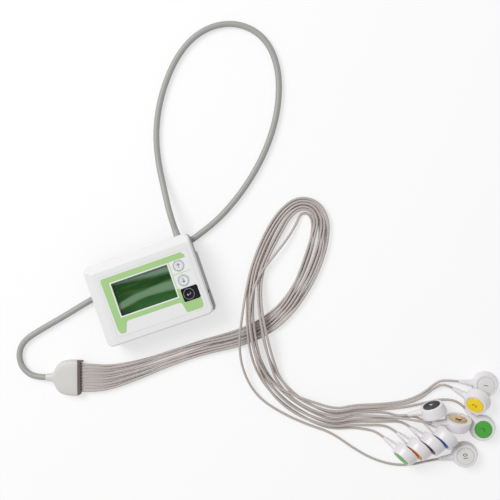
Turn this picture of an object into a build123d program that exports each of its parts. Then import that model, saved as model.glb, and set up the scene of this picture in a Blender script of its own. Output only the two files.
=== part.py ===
from build123d import *
import os
from math import cos, sin, tan, radians, pi

# Holter monitor: a body-worn heart recorder with its ten-lead patient cable, laid out on a table.
# Millimetres. The recorder lies on its back, centred on the origin, its face up (+Z) and its
# top side, where the trunk cable leaves, towards +Y.

# Recorder body
CASE_W = 80.8            # width of the front shell
CASE_D = 60.0            # from the bottom edge to the top edge
CASE_H = 22.0            # thickness, from the battery hump to the face
CORNER_R = 4.5           # corners seen from the front
WALL = 1.8               # shell walls
FACE_T = 2.0             # thickness of the face
SEAM_Z = 17.0            # height of the joint between the two shells
SEAL_T = 0.4             # seal squeezed between the shells
REAR_INSET = 0.25        # the rear shell stands in from the front shell
FIT = 0.15               # gap round a piece that slides or drops in
TOP_SLOPE_RUN = 6.2      # width of the sloped strip along the top edge
TOP_SLOPE_DROP = 3.4
LEFT_SLOPE_RUN = 6.0     # width of the sloped left shoulder
LEFT_SLOPE_DROP = 2.0
FACE_EDGE_R = 1.2        # rounding round the face
LIP_H = 1.2              # height of the lip that lines the two shells up
LIP_T = 0.8

# The back steps down to the table over the battery; the higher rest leaves room for the cable below
BACK_RISE = 7.7          # height of the back above the table, beside the hump
BACK_EDGE_R = 1.5
CELL_R = 5.15            # AAA cell
CELL_L = 43.6
CELL_NUB_R = 1.9
CELL_NUB_L = 0.9
CELL_PITCH = 10.9
CELL_GAP = 0.25          # between a cell and the compartment
BAY_L = 50.0             # compartment length
BAY_MID_X = -5.5
BAY_WALL = 1.2
DOOR_T = 1.5             # battery door
DOOR_MARGIN = 2.6        # the door reaches this far past the compartment at each end
DOOR_TONGUE = 1.0        # side tongues that run in the grooves
DOOR_TRAVEL = 7.0
DOOR_GRIPS = 5
HUMP_EDGE_Y = REAR_INSET + WALL - CASE_D / 2 + CELL_PITCH + 2 * (CELL_R + CELL_GAP) + WALL + 0.2
FOOT_X0, FOOT_Y1 = CASE_W / 2 - 9.6, 16.0    # the hump runs on up the right side as a narrow foot

# Display, label and keys
GLASS_W, GLASS_D = 43.0, 24.3
GLASS_X, GLASS_Y = -1.9, 0.9
LENS_LAP = 1.6           # the lens runs this far under the label all round
LENS_T = 1.2
LABEL_T = 0.25
LABEL_X0, LABEL_X1 = -31.0, CASE_W / 2 - 3.2
LABEL_Y0, LABEL_Y1 = -25.0, 19.6
KEY_R = 4.1              # the two arrow keys
ARROW_X = 27.3
UP_Y, DOWN_Y = 9.6, -1.4
ENTER_W, ENTER_D, ENTER_R = 12.2, 9.6, 1.0
ENTER_X, ENTER_Y = 29.1, -11.7
KEY_PROUD = 0.35         # a key stands above the label
KEY_FLANGE = 0.6
KEY_TRAVEL = 0.45
DOME_R = 3.2             # metal snap dome under each key
DOME_H = 0.6

# Electronics
BOARD_T = 1.6
BOARD_Z = 14.6
BOARD_GAP = 1.2          # board edge to shell wall
CARD_L, CARD_W, CARD_T = 15.0, 11.0, 0.8
CARD_Y = CARD_W / 2 + 3.1 - CASE_D / 2
CARD_X1 = CASE_W / 2 - 3.6   # outer edge of the memory card
SCREW_X = CASE_W / 2 - 5.5
SCREW_Y = CASE_D / 2 - 5.8
SCREWS = ((-SCREW_X, SCREW_Y), (-SCREW_X, -SCREW_Y), (SCREW_X, 11.8), (SCREW_X, -1.0))
BOSS_R = 2.7
SCREW_R = 0.95
SCREW_HEAD_R = 1.8
SCREW_HEAD_H = 1.2
BOSS_MEET_Z = 12.2

# Flap over the memory card, on the right side
FLAP_Y0, FLAP_Y1 = CARD_Y - CARD_W / 2 - 0.3, CARD_Y + CARD_W / 2 + 0.3
FLAP_PIN_Z = 5.4
FLAP_TOP_Z = 15.2
FLAP_R = 1.2             # rounded foot of the flap, round its pin
FLAP_PIN_R = 0.5
NOTCH_D, NOTCH_DEPTH = 2.6, 1.0       # fingernail notch in the wall above the flap

# Cable exit at the top side
GLAND_X, GLAND_Z = CASE_W / 2 - 8.4, 13.0
GLAND_R, GLAND_TIP_R = 3.2, 2.9
GLAND_OUT = 5.0          # length outside the shell
TRUNK_R = 2.25
LEAD_R = 0.9
LEADS = 10

# Yoke, where the trunk cable divides
YOKE_X, YOKE_Y = -71.6, -45.0    # middle of the face that the wires leave
YOKE_ANGLE = -19.2               # direction in which the wires leave
YOKE_L, YOKE_W, YOKE_H = 16.4, 27.0, 7.2
YOKE_CORNER_R = 6.0
COMB_L, COMB_W, COMB_H = 4.2, 24.6, 5.6
COMB_PITCH = 2.16
COMB_LEAD = 8.5          # each wire leaves the comb straight for this far
NECK_L, NECK_R = 6.0, 3.4

# Snap connectors
SNAP_R = 9.3
SNAP_TOP_R = 8.0
SNAP_H = 7.6
SNAP_LIP = 2.2
CAP_R = 6.0
CAP_T = 1.0
CAP_SEAT = 0.6           # depth of the cap in its seat
SOCKET_R = 3.3
SOCKET_H = 2.4
SHOWN_SOCKET = 5         # the snap whose socket shows
STUD_R = 2.05            # bore that takes the 4 mm stud of an electrode
TAIL_L, TAIL_R, TAIL_TIP_R = 9.5, 2.7, 1.35
TAIL_LEAD = 7.0          # each wire enters its tail straight from this far
PILE_X, PILE_Y = 126.7, -175.6   # lower left corner of the pile of snaps
PILE_ANGLE = -19.2

os.makedirs("parts", exist_ok=True)


def save(name, shape):
    export_step(shape, f"parts/{name}.step")


def slab(x0, x1, y0, y1, z0, z1, r=0.0):
    """A block between these limits, with its upright corners rounded."""
    outline = RectangleRounded(x1 - x0, y1 - y0, r) if r > 0 else Rectangle(x1 - x0, y1 - y0)
    return Pos((x0 + x1) / 2, (y0 + y1) / 2, z0) * extrude(outline, amount=z1 - z0)


def rod(x, y, z0, z1, r):
    return Pos(x, y, z0) * extrude(Circle(r), amount=z1 - z0)


def turned(profile):
    """A solid turned about Z from (radius, height) points."""
    return revolve(Plane.XZ * make_face(Polyline(*profile, close=True)), Axis.Z)


# Front shell: a shallow white shell with a sloped strip along the top and a sloped left shoulder
front_z0 = SEAM_Z + SEAL_T / 2
half_w, half_d = CASE_W / 2, CASE_D / 2


def shoulder_cuts(inside):
    """The wedges that the two slopes take off, moved inwards for the hollow."""
    reach = 5.0
    top = Polyline(
        (half_d - TOP_SLOPE_RUN - inside, CASE_H),
        (half_d - TOP_SLOPE_RUN - inside + reach * TOP_SLOPE_RUN, CASE_H - reach * TOP_SLOPE_DROP),
        (half_d - TOP_SLOPE_RUN - inside + reach * TOP_SLOPE_RUN, CASE_H),
        close=True)
    left = Polyline(
        (-half_w + LEFT_SLOPE_RUN + inside, CASE_H),
        (-half_w + LEFT_SLOPE_RUN + inside - reach * LEFT_SLOPE_RUN, CASE_H - reach * LEFT_SLOPE_DROP),
        (-half_w + LEFT_SLOPE_RUN + inside - reach * LEFT_SLOPE_RUN, CASE_H),
        close=True)
    return (extrude(Plane.YZ * make_face(top), amount=CASE_W, both=True)
            + extrude(Plane.XZ * make_face(left), amount=CASE_D, both=True))


shell = slab(-half_w, half_w, -half_d, half_d, front_z0, CASE_H, CORNER_R) - shoulder_cuts(0)
face_edges = shell.edges().filter_by(lambda e: e.bounding_box().max.Z > front_z0 + 0.5
                                     and e.bounding_box().min.Z > front_z0 + 0.2)
shell = fillet(face_edges, FACE_EDGE_R)
hollow = (slab(-half_w + WALL, half_w - WALL, -half_d + WALL, half_d - WALL, 0, CASE_H - FACE_T,
               CORNER_R - WALL) - Pos(0, 0, -FACE_T) * shoulder_cuts(0.6))
label_floor = CASE_H - LABEL_T
lens_floor = label_floor - LENS_T
label_seat = slab(LABEL_X0, LABEL_X1, LABEL_Y0, LABEL_Y1, label_floor, CASE_H + 1, 2.0)
glass_x0, glass_x1 = GLASS_X - GLASS_W / 2, GLASS_X + GLASS_W / 2
glass_y0, glass_y1 = GLASS_Y - GLASS_D / 2, GLASS_Y + GLASS_D / 2
lens_seat = slab(glass_x0 - LENS_LAP - FIT, glass_x1 + LENS_LAP + FIT, glass_y0 - LENS_LAP - FIT,
                 glass_y1 + LENS_LAP + FIT, lens_floor, CASE_H, 1.0)
viewing_hole = slab(glass_x0, glass_x1, glass_y0, glass_y1, CASE_H - 4, CASE_H, 0.5)


def arrow_key(y, z0, z1, grow):
    return rod(ARROW_X, y, z0, z1, KEY_R + grow)


def enter_key(z0, z1, grow):
    return slab(ENTER_X - ENTER_W / 2 - grow, ENTER_X + ENTER_W / 2 + grow,
                ENTER_Y - ENTER_D / 2 - grow, ENTER_Y + ENTER_D / 2 + grow, z0, z1, ENTER_R + grow)


def key_shape(name, z0, z1, grow):
    if name == "enter_button":
        return enter_key(z0, z1, grow)
    return arrow_key(UP_Y if name == "up_button" else DOWN_Y, z0, z1, grow)


KEYS = {"up_button": (ARROW_X, UP_Y), "down_button": (ARROW_X, DOWN_Y),
        "enter_button": (ENTER_X, ENTER_Y)}
front = shell - hollow - label_seat - lens_seat - viewing_hole
for key in KEYS:
    front -= key_shape(key, CASE_H - 4, CASE_H + 1, FIT)
for x, y in SCREWS:
    boss = rod(x, y, BOSS_MEET_Z, CASE_H - 1.2, BOSS_R)
    front += boss & (slab(-half_w + 1, half_w - 1, -half_d + 1, half_d - 1, 0, CASE_H - 1.2)
                     - Pos(0, 0, -1.0) * shoulder_cuts(0))
    front -= rod(x, y, BOSS_MEET_Z - 1, BOSS_MEET_Z + 4.5, SCREW_R + 0.05)
gland_notch = Pos(GLAND_X, half_d - 1.0, GLAND_Z) * Rot(-90, 0, 0) * extrude(
    Circle(GLAND_R + 1.5), amount=8)
front -= gland_notch
save("front_cover", front)

# Label: a thin printed sheet over the face, with openings for the display and the keys
label = slab(LABEL_X0 + FIT, LABEL_X1 - FIT, LABEL_Y0 + FIT, LABEL_Y1 - FIT, label_floor, CASE_H, 1.9)
label -= slab(glass_x0, glass_x1, glass_y0, glass_y1, 0, CASE_H + 1, 0.5)
for key in KEYS:
    label -= key_shape(key, 0, CASE_H + 1, FIT)
save("face_label", label)

# Display: clear lens under the label, and the display module on the board behind it
save("display_lens", slab(glass_x0 - LENS_LAP, glass_x1 + LENS_LAP, glass_y0 - LENS_LAP,
                          glass_y1 + LENS_LAP, lens_floor, label_floor, 0.9))
board_top = BOARD_Z + BOARD_T
module_top = CASE_H - FACE_T - 0.3
module_step = module_top - 0.8
module = slab(glass_x0 - 2.2, glass_x1 + 2.2, glass_y0 - 3.4, glass_y1 + 2.2, board_top, module_step,
              0.6)
module += slab(glass_x0 - 1.0, glass_x1 + 1.0, glass_y0 - 1.2, glass_y1 + 1.0, module_step, module_top)
save("display_module", module)

# Keys: a cap that stands just above the label, a flange below the face, and a stem over its dome
flange_top = CASE_H - FACE_T - 0.1
dome_top = board_top + DOME_H
for key, (x, y) in KEYS.items():
    cap = key_shape(key, flange_top - 0.1, CASE_H + KEY_PROUD, 0)
    cap = fillet(cap.edges().group_by(Axis.Z)[-1], 0.25)
    cap += key_shape(key, flange_top - 0.9, flange_top, KEY_FLANGE)
    cap += rod(x, y, dome_top + KEY_TRAVEL + 0.15, flange_top - 0.8, 1.3)
    save(key, cap)
domes = Compound(children=[
    Pos(x, y, board_top) * turned([(0, 0), (DOME_R, 0), (DOME_R, 0.15), (1.4, DOME_H), (0, DOME_H)])
    for x, y in KEYS.values()])
save("key_domes", domes)

# Rear shell: a deep grey tray whose back steps down to the battery hump
rear_top = SEAM_Z - SEAL_T / 2
rw, rd = half_w - REAR_INSET, half_d - REAR_INSET
rear_r = CORNER_R - REAR_INSET
tray = slab(-rw, rw, -rd, rd, BACK_RISE, rear_top, rear_r)
hump = slab(-rw, rw, -rd, HUMP_EDGE_Y, 0, BACK_RISE + 2, rear_r)
foot = slab(FOOT_X0, rw, HUMP_EDGE_Y - 2 * rear_r, FOOT_Y1, 0, BACK_RISE + 2, 2.0)
rear = tray + hump + foot
low_edges = rear.edges().filter_by(lambda e: e.center().Z < BACK_RISE - 0.5
                                   and e.bounding_box().size.Z < 0.5)
rear = fillet(low_edges, BACK_EDGE_R)
inner_w, inner_d = rw - WALL, rd - WALL
back_floor = BACK_RISE + 1.4
hump_floor = 2.6
rear -= slab(-inner_w, inner_w, -inner_d, inner_d, back_floor, rear_top + 1, rear_r - WALL)
rear -= slab(-inner_w, inner_w, -inner_d, HUMP_EDGE_Y - WALL, hump_floor, rear_top, rear_r - WALL)
rear -= slab(FOOT_X0 + WALL, inner_w, HUMP_EDGE_Y - 2 * WALL, FOOT_Y1 - WALL, hump_floor, rear_top)
lip_w, lip_d = half_w - WALL - FIT, half_d - WALL - FIT
lip = (slab(-lip_w, lip_w, -lip_d, lip_d, rear_top - 1.5, rear_top + LIP_H, CORNER_R - WALL)
       - slab(-lip_w + LIP_T, lip_w - LIP_T, -lip_d + LIP_T, lip_d - LIP_T, 0, CASE_H, 1.6))
lip -= slab(GLAND_X - 6.5, GLAND_X + 6.5, half_d - 10, half_d + 1, 0, CASE_H)
lip -= Pos(0, 0, -FACE_T - 0.2) * shoulder_cuts(0.8)
for x, y in SCREWS:
    lip -= rod(x, y, 0, CASE_H, BOSS_R + 0.2)
rear += lip & slab(-rw + 0.5, rw - 0.5, -rd + 0.5, rd - 0.5, 0, CASE_H)

bay_x0, bay_x1 = BAY_MID_X - BAY_L / 2, BAY_MID_X + BAY_L / 2
bay_y0, bay_y1 = -inner_d, HUMP_EDGE_Y - WALL
cell_z = DOOR_T + 0.15 + CELL_GAP + CELL_R
bay_top = cell_z + CELL_R + CELL_GAP
rear += slab(bay_x0 - BAY_WALL, bay_x1 + BAY_WALL, bay_y0 - 0.5, bay_y1 + BAY_WALL, 1.0,
             bay_top + BAY_WALL)
rear -= slab(bay_x0, bay_x1, bay_y0, bay_y1, -1, bay_top)
door_x0, door_x1 = bay_x0 - DOOR_MARGIN, bay_x1 + DOOR_MARGIN
door_y1 = HUMP_EDGE_Y - 1.0
rear -= slab(door_x0 - FIT, door_x1 + FIT, -rd - 2, door_y1 + FIT, -1, DOOR_T + FIT)
rear -= slab(door_x0 - DOOR_TONGUE - FIT, door_x1 + DOOR_TONGUE + FIT, -rd - 2, door_y1 + FIT,
             0.7 - FIT, DOOR_T + FIT)

flap_box = slab(rw - WALL, half_w + 1, FLAP_Y0 - FIT, FLAP_Y1 + FIT, FLAP_PIN_Z, FLAP_TOP_Z + FIT)
flap_foot = Pos(rw - 0.7, FLAP_Y0 - FIT, FLAP_PIN_Z) * Rot(-90, 0, 0) * extrude(
    Circle(FLAP_R + FIT), amount=FLAP_Y1 - FLAP_Y0 + 2 * FIT)
card_wall = slab(CARD_X1 - 0.6, rw - WALL + 0.05, FLAP_Y0 - 1.0, FLAP_Y1 + 1.2, hump_floor - 0.1,
                 FLAP_TOP_Z + 1.0)
rear += card_wall & slab(-rw + 1, rw - 1, -rd + 1, rd - 1, 0, rear_top)
pin_x = rw - 0.7
rear -= flap_box
rear -= flap_foot
rear -= slab(pin_x, half_w + 1, FLAP_Y0 - FIT, FLAP_Y1 + FIT, FLAP_PIN_Z - FLAP_R - FIT, FLAP_PIN_Z)
rear -= slab(rw - NOTCH_DEPTH, half_w + 1, FLAP_Y1, FLAP_Y1 + NOTCH_D, FLAP_PIN_Z + 3, FLAP_TOP_Z)
pin_line = Pos(pin_x, FLAP_Y0 - 1.6, FLAP_PIN_Z) * Rot(-90, 0, 0)
pin_len = FLAP_Y1 - FLAP_Y0 + 3.2
rear -= pin_line * extrude(Circle(FLAP_PIN_R), amount=pin_len)
card_z = BOARD_Z - 1.3
rear -= slab(CARD_X1 - 2, rw, CARD_Y - CARD_W / 2 - 0.3, CARD_Y + CARD_W / 2 + 0.3, card_z - 0.4,
             card_z + CARD_T + 0.4)
for x, y in SCREWS:
    floor = hump_floor if y < HUMP_EDGE_Y or x > FOOT_X0 else back_floor
    column = rod(x, y, floor - 1.0, BOSS_MEET_Z - 0.1, BOSS_R + 0.3)
    rear += column & slab(-rw + 1, rw - 1, -rd + 1, rd - 1, 0, rear_top)
    rear -= rod(x, y, -1, BOSS_MEET_Z + 1, SCREW_R + 0.15)
    rear -= rod(x, y, -1, BACK_RISE + SCREW_HEAD_H + 0.2, SCREW_HEAD_R + 0.2)
rear -= Pos(GLAND_X, half_d - 10, GLAND_Z) * Rot(-90, 0, 0) * extrude(Circle(GLAND_R + 0.1), amount=20)
save("rear_cover", rear)

seal = (slab(-rw, rw, -rd, rd, rear_top, front_z0, rear_r)
        - slab(-rw + 1.1, rw - 1.1, -rd + 1.1, rd - 1.1, 0, CASE_H, rear_r - 1.1)
        - slab(GLAND_X - 5.5, GLAND_X + 5.5, half_d - 10, half_d + 1, 0, CASE_H))
save("housing_seal", seal)

screws = []
for x, y in SCREWS:
    screws.append(rod(x, y, BACK_RISE + 0.2, BACK_RISE + 0.2 + SCREW_HEAD_H - 0.2, SCREW_HEAD_R)
                  + rod(x, y, BACK_RISE + 0.3, BOSS_MEET_Z + 4.0, SCREW_R))
save("case_screws", Compound(children=screws))

# Battery door: a plate that slides towards the bottom edge, with side tongues and finger ridges
door = slab(door_x0, door_x1, -rd, door_y1, 0, DOOR_T)
door += slab(door_x0 - DOOR_TONGUE, door_x1 + DOOR_TONGUE, -rd + 1.8, door_y1, 0.7, DOOR_T)
front_edge = door.edges().filter_by(Axis.X).sort_by(lambda e: e.center().Y + e.center().Z)[0]
door = fillet(front_edge, 1.0)
for i in range(DOOR_GRIPS):
    y = -rd + 4.0 + 1.6 * i
    door -= slab(BAY_MID_X - 8, BAY_MID_X + 8, y, y + 0.8, -1, 0.4)
save("battery_door", door)

# Cells and their contacts
for n, side in ((1, 1), (2, -1)):
    y = (bay_y0 + CELL_GAP + CELL_R) if n == 1 else (bay_y0 + CELL_GAP + CELL_R + CELL_PITCH)
    body = Rot(0, 90, 0) * extrude(Circle(CELL_R), amount=CELL_L / 2, both=True)
    nub = Pos(CELL_L / 2, 0, 0) * Rot(0, 90, 0) * extrude(Circle(CELL_NUB_R), amount=CELL_NUB_L)
    cell = body + nub
    if side < 0:
        cell = Rot(0, 0, 180) * cell
    save(f"battery_cell_{n}", Pos(BAY_MID_X, y, cell_z) * cell)


def leaf_contact(x, y, towards):
    """A plate against the bay wall with a bent leaf that presses on the cell."""
    t = 0.35
    plate = slab(-t / 2, t / 2, -4.0, 4.0, -4.2, 4.2)
    leaf = extrude(Plane.XZ * make_face(Polyline(
        (0, -3.6), (1.7, -0.6), (1.7, 0.6), (0, 3.6), (0, 3.1), (1.35, 0.5), (1.35, -0.5), (0, -3.1),
        close=True)), amount=1.6, both=True)
    contact = plate + leaf
    if towards < 0:
        contact = Rot(0, 0, 180) * contact
    return Pos(x, y, cell_z) * contact


contacts = []
for n in (0, 1):
    y = bay_y0 + CELL_GAP + CELL_R + n * CELL_PITCH
    contacts.append(leaf_contact(bay_x0 + 0.2, y, 1))
    contacts.append(leaf_contact(bay_x1 - 0.2, y, -1))
save("battery_contacts", Compound(children=contacts))

# Circuit board, its larger components, and the memory card in its socket
edge_w, edge_d = inner_w - BOARD_GAP, inner_d - BOARD_GAP
board = slab(-edge_w, edge_w, -edge_d, edge_d, BOARD_Z, board_top, 2.0)
board -= slab(GLAND_X - 6.5, half_w, half_d - 10, half_d, 0, CASE_H)
for x, y in SCREWS:
    board -= rod(x, y, 0, CASE_H, BOSS_R + 0.5)
    board -= slab(min(x, x + (9 if x > 0 else -9)), max(x, x + (9 if x > 0 else -9)),
                  y - BOSS_R - 0.5, y + BOSS_R + 0.5, 0, CASE_H)
board -= slab(CARD_X1 - 0.9, half_w, FLAP_Y0 - 1.3, FLAP_Y1 + 1.5, 0, CASE_H)
save("circuit_board", board)
PARTS_BELOW = ((-20, 8, 10, 10, 1.4), (2, 12, 7, 7, 1.2), (18, 4, 12, 4, 2.0), (-4, 4, 5, 3, 1.0),
               (-24, 20, 6, 4, 1.6), (8, 21, 4.5, 3, 1.0))
components = [slab(x - w / 2, x + w / 2, y - d / 2, y + d / 2, BOARD_Z - h, BOARD_Z)
              for x, y, w, d, h in PARTS_BELOW]
save("board_components", Compound(children=components))
card_x0 = CARD_X1 - CARD_L
socket = slab(card_x0 - 1.0, CARD_X1 - 1.2, CARD_Y - CARD_W / 2 - 0.7, CARD_Y + CARD_W / 2 + 0.7,
              card_z - 0.5, BOARD_Z)
socket -= slab(card_x0 - 0.1, CARD_X1, CARD_Y - CARD_W / 2 - 0.1, CARD_Y + CARD_W / 2 + 0.1,
               card_z - 0.1, card_z + CARD_T + 0.1)
save("card_socket", socket)
save("memory_card", slab(card_x0, CARD_X1, CARD_Y - CARD_W / 2, CARD_Y + CARD_W / 2, card_z,
                         card_z + CARD_T, 0.6))

# Flap over the memory card: curved round the corner of the rear shell, bulging a little outwards
flap_skin = slab(-half_w, half_w, -rd - 0.3, rd, 0, CASE_H, rear_r)
flap = slab(pin_x - 0.5, half_w + 1, FLAP_Y0, FLAP_Y1, FLAP_PIN_Z, FLAP_TOP_Z) & flap_skin
foot = Pos(pin_x, FLAP_Y0, FLAP_PIN_Z) * Rot(-90, 0, 0) * extrude(Circle(FLAP_R), amount=FLAP_Y1 - FLAP_Y0)
flap += foot & flap_skin
flap -= slab(half_w - 0.6, half_w + 1, FLAP_Y0 + 2, FLAP_Y1 - 2, FLAP_TOP_Z - 1.4, FLAP_TOP_Z - 0.6)
flap -= pin_line * extrude(Circle(FLAP_PIN_R + 0.08), amount=pin_len)
save("card_door", flap)
save("card_door_pin", pin_line * extrude(Circle(FLAP_PIN_R), amount=pin_len))

# Cable gland: a flanged bush in the rear shell's top wall, with a short tapered collar outside
gland = turned([(0, 0), (GLAND_R + 0.6, 0), (GLAND_R + 0.6, 2.2), (GLAND_R, 2.2), (GLAND_R, 4.4),
                (GLAND_R + 0.9, 4.4), (GLAND_R + 0.9, 5.6), (GLAND_R, 5.6),
                (GLAND_TIP_R, 2.2 + WALL + 0.4 + GLAND_OUT), (0, 2.2 + WALL + 0.4 + GLAND_OUT)])
gland_y0 = inner_d - 2.3
gland_end = gland_y0 + 2.2 + WALL + 0.4 + GLAND_OUT
save("cable_gland", Pos(GLAND_X, gland_y0, GLAND_Z) * Rot(-90, 0, 0) * gland)


def corner_radii(points):
    """The radius at each inner point: as large as its two runs allow."""
    radii = []
    for a, b, c in zip(points, points[1:], points[2:]):
        run_in, run_out = Vector(b) - Vector(a), Vector(c) - Vector(b)
        half_turn = radians(run_in.get_angle(run_out)) / 2
        radii.append(0.45 * min(run_in.length, run_out.length) / tan(half_turn))
    return radii


def cord(name, points, radius, sides):
    """A plain few-sided tube of the round one's section: straight runs joined by tangent arcs."""
    radii = corner_radii(points)
    path = FilletPolyline(*points, radius=radii)
    first_run = Vector(points[1]) - Vector(points[0])
    start = Plane(origin=points[0], x_dir=(-first_run.Y, first_run.X, 0), z_dir=first_run)
    corner = (2 * pi * radius ** 2 / (sides * sin(2 * pi / sides))) ** 0.5
    section = start * Rot(0, 0, 180 / sides) * RegularPolygon(corner, sides)
    tube = sweep(section, path=path)
    runs = [(Vector(q) - Vector(p)).length for p, q in zip(points, points[1:])]
    turns = [(Vector(b) - Vector(a)).get_angle(Vector(c) - Vector(b))
             for a, b, c in zip(points, points[1:], points[2:])]
    print(f"{name}: length {path.length:.0f}, volume over section times length "
          f"{tube.volume / (pi * radius ** 2 * path.length):.4f}, smallest radius {min(radii):.1f}, "
          f"largest turn {max(turns):.0f}, runs {min(runs):.1f} to {max(runs):.1f}, "
          f"lowest {tube.bounding_box().min.Z:.2f}")
    save(name, tube)
    return tube


# Trunk cable: out of the top side, down to the table, round in a tall loop, back below the raised
# part of the recorder and out at its left side to the yoke
LIE = TRUNK_R + 0.15
YOKE_Z = YOKE_H / 2
along = Vector(cos(radians(YOKE_ANGLE)), sin(radians(YOKE_ANGLE)), 0)
across = Vector(-along.Y, along.X, 0)
yoke_face = Vector(YOKE_X, YOKE_Y, YOKE_Z)
neck_end = yoke_face - along * (COMB_L + YOKE_L + NECK_L)
TRUNK_ROUTE = [
    (GLAND_X, gland_end, GLAND_Z),
    (GLAND_X, 47, GLAND_Z),
    (33, 65, 6.5),
    (34.5, 84, LIE),
    (39, 103, LIE),
    (47, 121, LIE),
    (58.5, 138, LIE),
    (72.5, 152.5, LIE),
    (88, 162, LIE),
    (104.5, 165, LIE),
    (120, 161.5, LIE),
    (132, 152, LIE),
    (138.5, 139, LIE),
    (139.5, 123, LIE),
    (135.5, 106, LIE),
    (126.5, 87, LIE),
    (113, 69, LIE),
    (98, 54.5, LIE),
    (81, 42, LIE),
    (62, 31.5, LIE),
    (41, 24.5, LIE),
    (18, 18.5, LIE),
    (-6, 14, LIE),
    (-29, 10, LIE),
    (-51, 6, LIE),
    (-72, 1.5, LIE),
    (-89, -1.6, LIE),
    (-102.5, -4.7, LIE),
    (-109.5, -10.2, LIE),
    (-112.5, -18.4, LIE),
    (-110.8, -26.8, 3.0),
    (neck_end.X - 8.6 * along.X, neck_end.Y - 8.6 * along.Y, YOKE_Z),
    (neck_end.X, neck_end.Y, YOKE_Z),
]
cord("trunk_cable", TRUNK_ROUTE, TRUNK_R, 8)

# Yoke: neck, moulded block and the dark comb that holds the ten wires apart
yoke_place = Location((YOKE_X, YOKE_Y, 0), (0, 0, YOKE_ANGLE))
neck = Pos(-COMB_L - YOKE_L, 0, YOKE_Z) * Rot(0, -90, 0) * turned(
    [(0, 0), (NECK_R, 0), (TRUNK_R + 0.5, NECK_L), (0, NECK_L)])
save("yoke_neck", yoke_place * neck)
block = slab(-YOKE_L, 0, -YOKE_W / 2, YOKE_W / 2, 0, YOKE_H)
block = fillet(block.edges().filter_by(Axis.Z).group_by(Axis.X)[0], YOKE_CORNER_R)
block = fillet(block.edges().group_by(Axis.Z)[-1] + block.edges().group_by(Axis.Z)[0], 1.2)
save("yoke_body", yoke_place * Pos(-COMB_L, 0, 0) * block)
comb = slab(-COMB_L, 0, -COMB_W / 2, COMB_W / 2, YOKE_Z - COMB_H / 2, YOKE_Z + COMB_H / 2)
comb = fillet(comb.edges().filter_by(Axis.X), 1.5)
save("yoke_comb", yoke_place * comb)

# Snap connectors: a taupe body with a white rim, a tail, a coloured cap and a metal stud socket.
# Each row: place in the pile (right, up), the way the cap faces (turn, tilt from upright), the way
# the tail leaves within the disc, and the colour of the cap.
PILE = Location((PILE_X, PILE_Y, 0), (0, 0, PILE_ANGLE))
half = SNAP_H / 2
SNAPS = [
    (62.3, 57.6, 0, 0, -84, "white"),
    (55.6, 45.8, 226, 38, 161, "yellow"),
    (60.8, 26.2, 0, 0, -41.5, "green"),
    (25.2, 40.2, 110, 76, 18, "black"),
    (42.6, 30.4, 264, 108, 189, "red"),
    (33.2, 20.0, 228, 70, 163, "blue"),
    (24.2, 15.6, 228, 70, 160, "violet"),
    (14.9, 11.6, 228, 70, 158, "orange"),
    (5.4, 7.7, 228, 72, 159, "green"),
    (48.5, 6.8, 0, 0, -100, "white"),
]


def snap_axes(turn, tilt, tail):
    """The way the cap faces and the way the tail points, in the pile's own axes."""
    turn, tilt, tail = radians(turn), radians(tilt), radians(tail)
    facing = Vector(sin(tilt) * cos(turn), sin(tilt) * sin(turn), cos(tilt))
    level = Vector(-sin(turn), cos(turn), 0)
    downhill = Vector(cos(tilt) * cos(turn), cos(tilt) * sin(turn), -sin(tilt))
    return facing, level * cos(tail) + downhill * sin(tail)


def snap_height(tilt):
    """Height of a snap's centre when its rim rests on the table."""
    s, c = sin(radians(tilt)), cos(radians(tilt))
    return max(SNAP_R * s + half * c, SNAP_TOP_R * s - half * c,
               CAP_R * s - (half + CAP_T - CAP_SEAT) * c) + 0.03


def snap_place(u, v, turn, tilt, tail):
    facing, pointing = snap_axes(turn, tilt, tail)
    return PILE * Location(Plane(origin=(u, v, snap_height(tilt)), x_dir=pointing, z_dir=facing))


snap_body = turned([(0, -half), (SNAP_R, -half), (SNAP_R, -half + SNAP_LIP), (SNAP_TOP_R, half),
                    (0, half)])
snap_body += Pos(SNAP_TOP_R - 2.5, 0, -0.3) * Rot(0, 90, 0) * turned(
    [(0, 0), (TAIL_R, 0), (TAIL_TIP_R, SNAP_R + TAIL_L - SNAP_TOP_R + 2.5),
     (0, SNAP_R + TAIL_L - SNAP_TOP_R + 2.5)])
snap_body -= rod(0, 0, half - CAP_SEAT, half + 1, CAP_R + 0.1)
snap_body -= rod(0, 0, -half - 1, -half + SOCKET_H + 0.5, SOCKET_R)
cap_disc = rod(0, 0, half - CAP_SEAT, half - CAP_SEAT + CAP_T, CAP_R)
socket_ring = turned([(STUD_R, -half), (SOCKET_R, -half), (SOCKET_R, -half + SOCKET_H),
                      (STUD_R, -half + SOCKET_H)])
caps, rings = {}, []
tips = []
for n, (u, v, turn, tilt, tail, colour) in enumerate(SNAPS, 1):
    place = snap_place(u, v, turn, tilt, tail)
    save(f"snap_body_{n}", place * snap_body)
    caps.setdefault(colour, []).append(place * cap_disc)
    rings.append(place * socket_ring)
    facing, pointing = snap_axes(turn, tilt, tail)
    middle = Vector(u, v, snap_height(tilt)) - facing * 0.3
    tips.append((middle + pointing * (SNAP_R + TAIL_L), pointing))
for colour, discs in caps.items():
    save(f"snap_cap_{colour}", Compound(children=discs))
save("stud_socket", rings.pop(SHOWN_SOCKET - 1))
save("snap_sockets", Compound(children=rings))

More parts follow.
